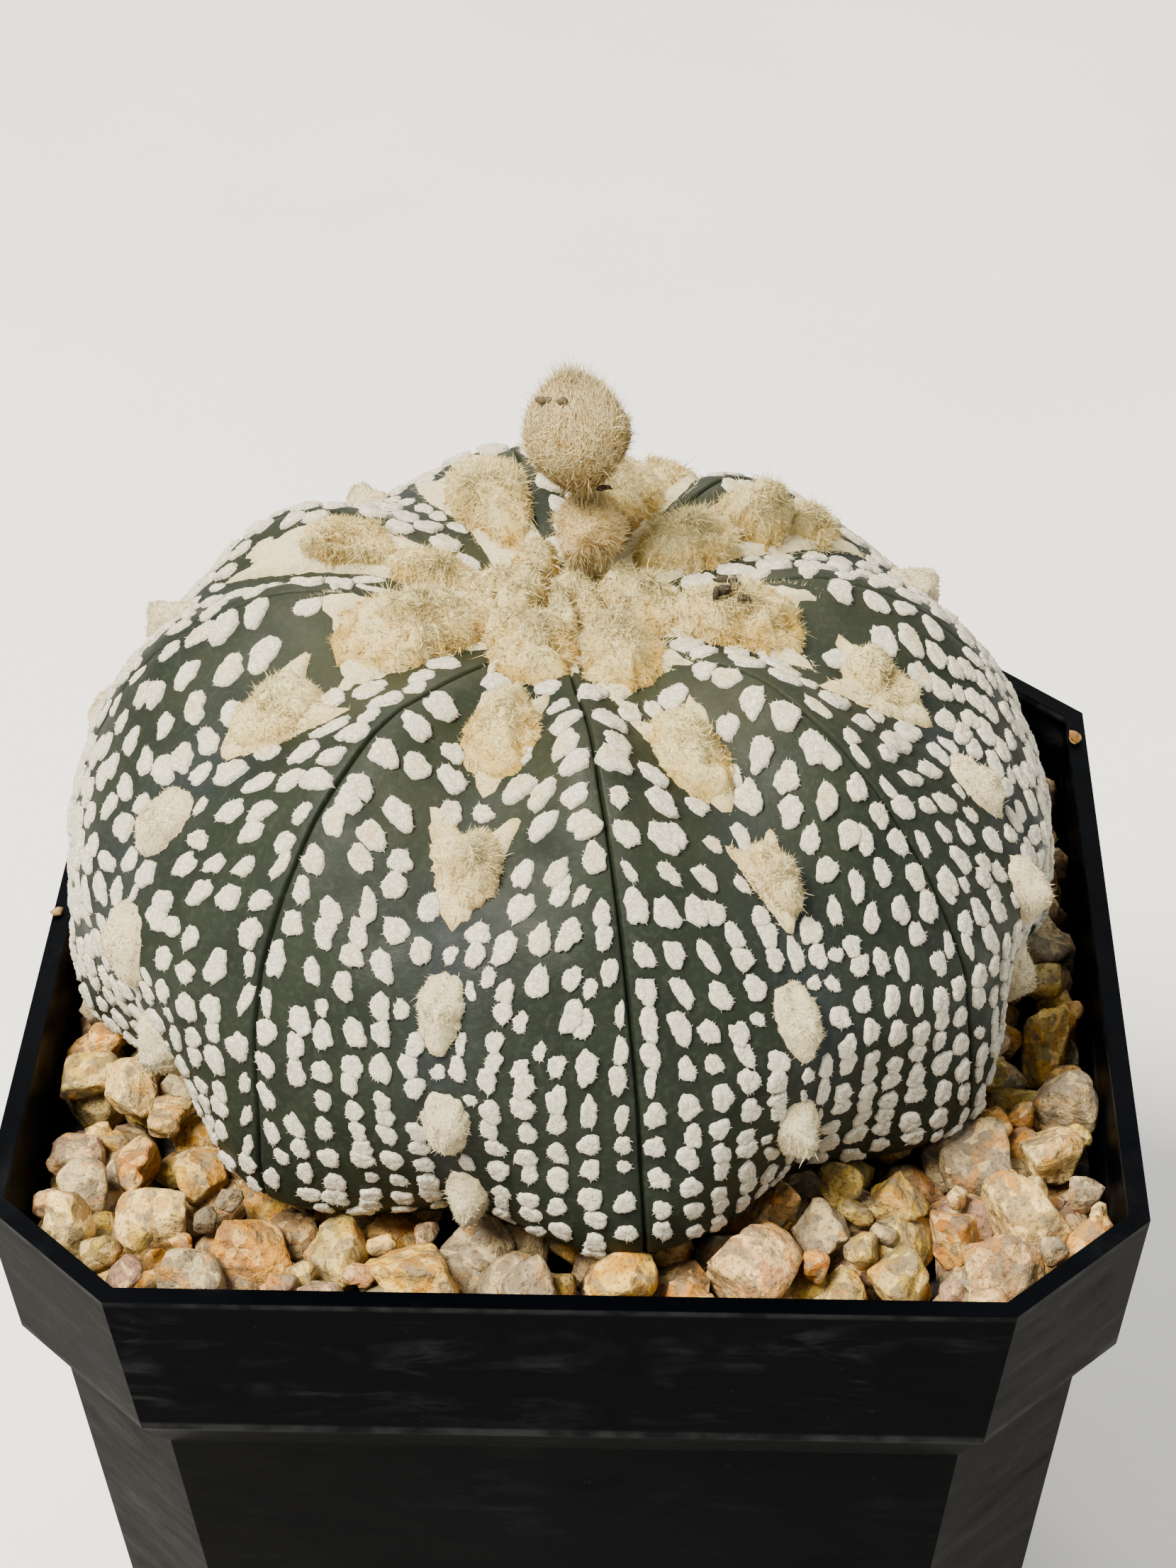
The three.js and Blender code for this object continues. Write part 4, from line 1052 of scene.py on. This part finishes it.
# Wool over the growing point, with an arm along each areole line
def make_crown(random):
    heap = Heap()
    for rib, reach in enumerate(ARM_REACH):
        felt_strip(heap, rib, 1.5, reach, random)
        for at, half_width, half_length, height in PUFFS[rib]:
            across = float(arm_drift(rib, at)) + random.uniform(-0.3, 0.3)
            direction = rib_line(rib) + across / max(float(radius_at(at)), 2.0)
            shape = [(x * random.uniform(0.86, 1.12), y) for x, y in oval(half_width, half_length)]
            boss = (random.uniform(-0.7, 0.7), random.uniform(-1.6, 1.6), 1.8, 0.7)
            hairs = int(PUFF_HAIRS * half_length * half_width ** 0.5)
            look = {"hairs": hairs, "around": 76, "base": 0.3, "rings": 14, "fur": 1.05}
            mound(heap, direction, at, shape, height, random, boss, **look)
    for ring, lumps in CENTRE_LUMPS:
        for i in range(lumps):
            direction = (i + 0.35 * ring) / lumps * 2 * math.pi
            size = random.uniform(1.3, 2.0)
            shape = oval(size, size * random.uniform(0.85, 1.2))
            distance = ring + random.uniform(-0.5, 0.5)
            look = {"hairs": 900, "around": 36, "base": 0.5, "fur": 0.85}
            mound(heap, direction, distance, shape, random.uniform(1.9, 3.3), random, **look)
    # Flakes of dark soil caught in the wool
    rib, distance, across, rise = FLAKE_PLACE
    spot = on_skin(rib_line(rib) + across / float(radius_at(distance)), distance, rise)
    for _ in range(SOIL_FLAKES):
        shift = random.normal(0, 0.5, 3) * np.array([1.8, 1.0, 0.35])
        add_crumb(heap, spot + shift, random.uniform(0.15, 0.7, 3), depth=0.0, white=0.0, dirt=1.0)
    return heap


# Directions across the bud, ahead of it and along it
def bud_frame():
    axis = unit(BUD_TIP - BUD_FOOT)
    side = unit(np.cross(axis, [0.0, 1.0, 0.0]))
    return side, np.cross(axis, side), axis


# Points on the bud at a share of its length, an angle round it and a rise off its surface
def bud_point(share, angle, rise):
    side, ahead, axis = bud_frame()
    swell = np.sin(np.pi * np.clip(share, 0.005, 0.995) ** 1.15) ** lerp(1.05, 0.62, share)
    fold = 1 + 0.035 * np.cos(5 * angle + 6 * share) + 0.02 * np.sin(9 * angle - 4 * share)
    radius = BUD_RADIUS * swell * fold + rise
    lift = (share - 1) * BUD_LENGTH + rise * (share - 0.5)
    around = np.cos(angle)[..., None] * side + np.sin(angle)[..., None] * ahead
    return BUD_TIP + around * radius[..., None] + axis * lift[..., None]


def make_bud(random):
    heap = Heap()
    rows, around = 34, 60
    share = 0.5 + 0.5 * np.cos(np.pi * np.linspace(0.02, 0.95, rows))[:, None] * np.ones(around)
    angle = np.ones((rows, 1)) * turns(around)
    grid = bud_point(share, angle, np.zeros_like(share))
    middle = grid.mean((0, 1))
    grid = grid + unit(grid - middle) * (0.26 * noise(grid, 1.5, 21) + 0.14 * noise(grid, 0.5, 22))[..., None]
    points, faces = closed_shell(grid)
    depth = np.append(share.ravel(), [1, 0])
    heap.add(points, faces, depth=0.15 + 0.6 * depth, white=0.0, dirt=0.0)
    # Long hairs that lie along the egg and cross each other
    hairs = LYING_HAIRS
    start = random.uniform(0.03, 0.9, hairs)
    turn = random.uniform(0, 2 * np.pi, hairs)
    length = random.uniform(0.12, 0.38, hairs)
    sweep = random.normal(0, 0.7, hairs)
    lift = random.uniform(0.05, 0.4, hairs)
    a = bud_point(start, turn, lift * 0.3)
    b = bud_point(np.minimum(start + length * 0.6, 0.99), turn + sweep * random.uniform(0, 1, hairs), lift)
    c = bud_point(np.minimum(start + length, 0.994), turn + sweep, lift * random.uniform(0.6, 2.6, hairs))
    side = unit(np.cross(c - a, a - middle)) * 0.042
    strand = np.stack([a - side, a + side, b - side, b + side, c], 1)
    shade = np.clip(0.3 + 0.45 * start + random.normal(0, 0.34, hairs), 0, 1.15)
    heap.add(strand, [ribbon_faces(hairs)], depth=np.repeat(shade, 5), white=0.0, dirt=0.0)
    # Hairs that stand out, longest at the top
    hairs = STANDING_HAIRS
    start = 1 - random.uniform(0.0, 0.95, hairs) ** 1.3
    turn = random.uniform(0, 2 * np.pi, hairs)
    roots = bud_point(start, turn, np.zeros(hairs))
    out = scattered(unit(roots - middle) + bud_frame()[2] * 0.75, 0.55, random)
    size = random.uniform(0.35, 1.3, hairs) * (1 + 0.3 * smooth(0.8, 1, start))
    strand, faces = ribbons(roots, out, size, HAIR_WIDTH, 0.35, random)
    shade = np.clip(0.3 + 0.55 * start + random.normal(0, 0.3, hairs), 0, 1.15)
    heap.add(strand, [faces], depth=np.repeat(shade, 5), white=0.0, dirt=0.0)
    add_bud_foot(heap, random)
    # Withered tips of two scales at the top and one below
    for place, angle, size in WITHERED_SCALES:
        spot = bud_point(np.array([place]), np.array([angle]), np.array([0.45]))[0]
        add_crumb(heap, spot, size, depth=0.0, white=0.0, dirt=0.9)
    return heap


# Small jagged crumb
def add_crumb(heap, centre, size, **values):
    points, faces = sphere_mesh(2)
    shape = points * np.array(size) * (1 + 0.7 * noise(points * 3 + centre, 1.4, 41)[:, None])
    heap.add(shape + centre, [faces], **values)


# Round tan foot of the bud
def add_bud_foot(heap, random):
    rows, around = 20, 44
    polar = np.linspace(0.08, np.pi - 0.08, rows)[:, None] * np.ones(around)
    angle = np.ones((rows, 1)) * turns(around)
    ball = np.stack([np.sin(polar) * np.cos(angle), np.sin(polar) * np.sin(angle), np.cos(polar) * 1.18], -1)
    grid = BUD_FOOT + ball * FOOT_RADIUS
    grid = grid + ball * (0.5 * noise(grid, 1.5, 31) + 0.25 * noise(grid, 0.6, 32))[..., None]
    points, faces = closed_shell(grid)
    heap.add(points, faces, depth=0.2, white=0.0, dirt=0.0)
    pick = random.integers(0, rows * around, FOOT_HAIRS)
    roots = grid.reshape(-1, 3)[pick] + random.normal(0, 0.1, (FOOT_HAIRS, 3))
    out = scattered(unit(roots - BUD_FOOT), 0.8, random)
    shade = random.uniform(0.1, 0.55, FOOT_HAIRS)
    size = random.uniform(0.3, 0.9, FOOT_HAIRS)
    fuzz(heap, roots, out, size, random, depth=(shade, shade + 0.35), white=(0, 0), dirt=(0, 0))


# Points and faces of a ball of radius 1
def sphere_mesh(level):
    shape = bmesh.new()
    bmesh.ops.create_icosphere(shape, subdivisions=level, radius=1)
    points = np.array([v.co[:] for v in shape.verts])
    faces = np.array([[v.index for v in f.verts] for f in shape.faces])
    shape.free()
    return points, faces


# Distance from the middle to the inner faces of the pot's sides and of its cut corners, at a height
def wall_faces(height):
    share = np.clip((height - COLLAR_FOOT) / COLLAR_HEIGHT, 0, 1)
    at_foot, at_rim = (width / 2 - wall for width, wall in zip(COLLAR_WIDTH, WALL))
    side = lerp(at_foot, at_rim, share) - WALL_GAP
    corner = (2 * side - lerp(*CORNER_CUT, share) + 0.9) / math.sqrt(2)
    return side, corner


# One broken stone: a ball cut by flat facets, roughened, and pushed back inside the pot's wall
def add_stone(heap, ball, centre, size, tint, random, walled=True):
    points, faces = ball
    normals = unit(random.normal(size=(FACETS, 3)))
    offsets = random.uniform(0.66, 1.0, FACETS)
    facing = np.clip(points @ normals.T, 0, None) / offsets
    reach = np.clip((facing ** FACET_SHARPNESS).sum(1) ** (-1 / FACET_SHARPNESS), 0.6, 1.35)
    shape = points * reach[:, None] * np.array([1, random.uniform(0.78, 1), random.uniform(0.68, 0.92)])
    axis = unit(random.normal(size=3))
    spin = np.array(Matrix.Rotation(random.uniform(0, 2 * math.pi), 3, Vector(axis)))
    shape = shape @ spin.T
    shape *= size / 2 / np.abs(shape[:, :2]).max()
    seed = int(random.integers(0, 1000))
    rough = 0.05 * size * noise(shape, size * 0.33, seed) + 0.16 * noise(shape, 0.9, seed + 1)
    chips = np.floor(shape / 1.2 + 0.3 * noise(shape, 0.8, seed + 2)[:, None])
    rough += 0.26 * (lattice(chips, seed + 3) - 0.5)
    placed = shape + points * rough[:, None] + centre
    if walled:
        side, corner = wall_faces(placed[:, 2])
        half = math.sqrt(0.5)
        for a, b, limit in ((1, 0, side), (0, 1, side), (half, half, corner), (half, -half, corner)):
            for sign in (1, -1):
                over = np.maximum(sign * (placed[:, 0] * a + placed[:, 1] * b) - limit, 0) * sign
                placed[:, 0] -= over * a
                placed[:, 1] -= over * b
    first, second = STONE_TINTS[tint]
    shade = random.uniform(0.62, 1.08)
    shift = random.uniform(-50, 50, 3)
    heap.add(placed, [faces], tint=np.array(first) * shade, second=np.array(second) * shade, shift=shift)


# Radius of the plant where it meets the grit, in a direction
def foot_radius(x, y):
    direction = math.atan2(x - AXIS_BASE[0], -(y - AXIS_BASE[1]))
    lobes = FOOT_LOBES * math.cos(RIBS * (direction - FIRST_SUTURE))
    lopsided = LOPSIDED * math.cos(direction - LOPSIDED_TOWARDS)
    return BODY_RADIUS * FOOT_RATIO * (1 + lopsided + lobes)


def distance_from_axis(x, y):
    return math.hypot(x - AXIS_BASE[0], y - AXIS_BASE[1])


# Level of the grit's surface, highest by the plant and at the front
def grit_level(x, y):
    from_plant = distance_from_axis(x, y) - foot_radius(x, y)
    away = float(smooth(2, 10, from_plant))
    front = float(smooth(-18, -32, y))
    return POT_HEIGHT - 1.9 - away * lerp(2.2, -0.4, front)


def make_grit(random):
    fine, medium, coarse = sphere_mesh(4), sphere_mesh(3), sphere_mesh(2)
    placed = []
    heaps = [Heap(), Heap()]

    def free(x, y, radius, squeeze):
        side, corner = wall_faces(POT_HEIGHT - 4)
        inside = max(abs(x), abs(y)) < side - 0.7 * radius
        inside = inside and abs(x) + abs(y) < corner * math.sqrt(2) - radius
        from_plant = distance_from_axis(x, y) - foot_radius(x, y)
        apart = all(math.hypot(x - a, y - b) > squeeze * (radius + r) for a, b, r in placed)
        return inside and from_plant > 0.1 * radius and apart

    def put(heap, ball, x, y, size, tint, lower):
        level = grit_level(x, y) - size * 0.34 - lower
        add_stone(heap, ball, np.array([x, y, level]), size, tint, random)

    for x, y, size, tint in HERO_STONES:
        placed.append((x, y, size / 2))
        put(heaps[0], fine, x, y, size, tint, random.uniform(-0.4, 0.2))
    for step, (tries, low, high, squeeze, lower) in enumerate(STONE_ROUNDS):
        for _ in range(tries):
            x, y = random.uniform(-40, 40, 2)
            radius = random.uniform(low, high)
            tint = COMMON[random.integers(0, len(COMMON))]
            if free(x, y, radius, squeeze):
                placed.append((x, y, radius))
                large = step == 0 and y < LARGE_BEFORE
                heap, ball = (heaps[0], fine) if large else (heaps[1], medium)
                put(heap, ball, x, y, 2 * radius, tint, random.uniform(0, lower))
    # Stones underneath, seen only through the gaps
    side, corner = wall_faces(POT_HEIGHT - 8)
    steps = np.arange(-LOWER_REACH, LOWER_REACH + 0.1, LOWER_SPACING)
    for x in steps:
        for y in steps:
            spot = (x + random.uniform(-1, 1), y + random.uniform(-1, 1))
            inside = max(map(abs, spot)) < side - 1 and sum(map(abs, spot)) < corner * math.sqrt(2) - 1.5
            if inside and distance_from_axis(*spot) > LOWER_CLEAR:
                tint = COMMON[random.integers(0, len(COMMON))]
                put(heaps[1], coarse, *spot, random.uniform(5, 7), tint, random.uniform(2.4, 3.6))
    # Crumbs that lie on the rim
    for place in RIM_CRUMBS:
        add_stone(heaps[1], coarse, np.array(place), random.uniform(0.9, 1.3), "orange", random, walled=False)
    return heaps


# The pot's own solid with its edges rounded
def make_pot():
    shape = bmesh.new()
    shape.from_mesh(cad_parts["pot"].data)
    bmesh.ops.remove_doubles(shape, verts=shape.verts, dist=1e-6)
    bmesh.ops.dissolve_limit(shape, angle_limit=math.radians(1), verts=shape.verts, edges=shape.edges)
    mesh = bpy.data.meshes.new("pot_shell")
    shape.to_mesh(mesh)
    shape.free()
    piece = new_object("pot_shell", mesh)
    rounding = piece.modifiers.new("rounded edges", "BEVEL")
    rounding.width = EDGE_ROUNDING * MM
    rounding.segments = 3
    rounding.limit_method = "ANGLE"
    rounding.angle_limit = math.radians(12)
    rounding.harden_normals = True
    ready = bpy.data.meshes.new_from_object(piece.evaluated_get(bpy.context.evaluated_depsgraph_get()))
    piece.modifiers.clear()
    piece.data = ready
    ready.materials.clear()
    ready.materials.append(black_plastic())
    # Mark the inside of the collar, where soil clings
    co = np.zeros(len(ready.vertices) * 3)
    ready.vertices.foreach_get("co", co)
    co = co.reshape(-1, 3) / MM
    side = np.array([wall_faces(z)[0] for z in co[:, 2]])
    low, high = SOILED_HEIGHTS
    inner = (np.abs(co[:, :2]).max(1) < side + 0.7) & (co[:, 2] > low) & (co[:, 2] < high)
    attribute = ready.attributes.new("inner", "FLOAT", "POINT")
    attribute.data.foreach_set("value", inner.astype(np.float32))
    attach(piece, "root")
    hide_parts("pot")


def add_lamp(name, place, size, power, color):
    data = bpy.data.lights.new(name, "AREA")
    data.energy = power
    data.color = color
    data.shape = "DISK"
    data.size = size
    lamp = new_object(name, data)
    lamp.location = place
    lamp.rotation_euler = (LAMP_AIM - Vector(place)).to_track_quat("-Z", "Y").to_euler()


# Pale floor, even room light and soft lamps
def make_stage():
    mesh = bpy.data.meshes.new("floor")
    corners = [(x * FLOOR_REACH, y * FLOOR_REACH, 0) for x, y in ((-1, -1), (1, -1), (1, 1), (-1, 1))]
    mesh.from_pydata(corners, [], [(0, 1, 2, 3)])
    mesh.materials.append(pale_floor())
    floor = new_object("floor", mesh)
    world = bpy.data.worlds.new("soft room")
    bpy.context.scene.world = world
    world.use_nodes = True
    background = world.node_tree.nodes["Background"]
    background.inputs["Color"].default_value = ROOM_COLOUR
    background.inputs["Strength"].default_value = ROOM_STRENGTH
    for lamp in LAMPS:
        add_lamp(*lamp)


# Camera at the photo's viewing place and angle
def make_camera():
    data = bpy.data.cameras.new("camera")
    data.sensor_fit = "HORIZONTAL"
    data.sensor_width = SENSOR_WIDTH
    data.lens = FOCAL_PIXELS * SENSOR_WIDTH / PHOTO_WIDTH
    data.clip_start = 0.01
    camera = new_object("camera", data)
    back = (EYE - TARGET).normalized()
    level = back.cross(Vector((0, 0, 1))).normalized() * -1
    rise = back.cross(level)
    right = math.cos(ROLL) * level + math.sin(ROLL) * rise
    up = -math.sin(ROLL) * level + math.cos(ROLL) * rise
    turn = Matrix((right, up, back)).transposed()
    camera.matrix_world = Matrix.Translation(EYE) @ turn.to_4x4()
    bpy.context.scene.camera = camera


make_camera()
make_stage()
skin_material = green_skin()
felt_material = white_felt()
areole_wool = cream_wool("areole_wool", (0.66, 0.41, 0.08), (0.96, 0.75, 0.29), (1.0, 0.88, 0.44))
bud_wool = cream_wool("bud_wool", (0.54, 0.32, 0.075), (0.90, 0.67, 0.28), (1.0, 0.86, 0.45))
stone_material = granite()

build_piece("plant_skin", make_skin(), skin_material, "cactus_body")
places = fleck_places(np.random.default_rng(PLACE_SEED))
for name, seed, in_front in (("flecks_front", FRONT_SEED, True), ("flecks_back", BACK_SEED, False)):
    chosen = [place for place in places if (math.cos(rib_line(place[0])) > 0) == in_front]
    flecks = make_flecks(chosen, np.random.default_rng(seed))
    build_piece(name, flecks, felt_material, "cactus_body")
tufts = make_tufts(np.random.default_rng(TUFT_SEED))
build_piece("areole_tufts", tufts, areole_wool, "cactus_body")
crown = make_crown(np.random.default_rng(CROWN_SEED))
build_piece("crown_felt", crown, areole_wool, "crown_wool")
bud = make_bud(np.random.default_rng(BUD_SEED))
build_piece("woolly_bud", bud, bud_wool, "flower_bud")
grit = make_grit(np.random.default_rng(GRIT_SEED))
for name, heap in zip(("grit_large", "grit_small"), grit):
    build_piece(name, heap, stone_material, "gravel_top_dressing")
make_pot()
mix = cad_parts["growing_mix"]
mix.data.materials.clear()
mix.data.materials.append(dark_mix())
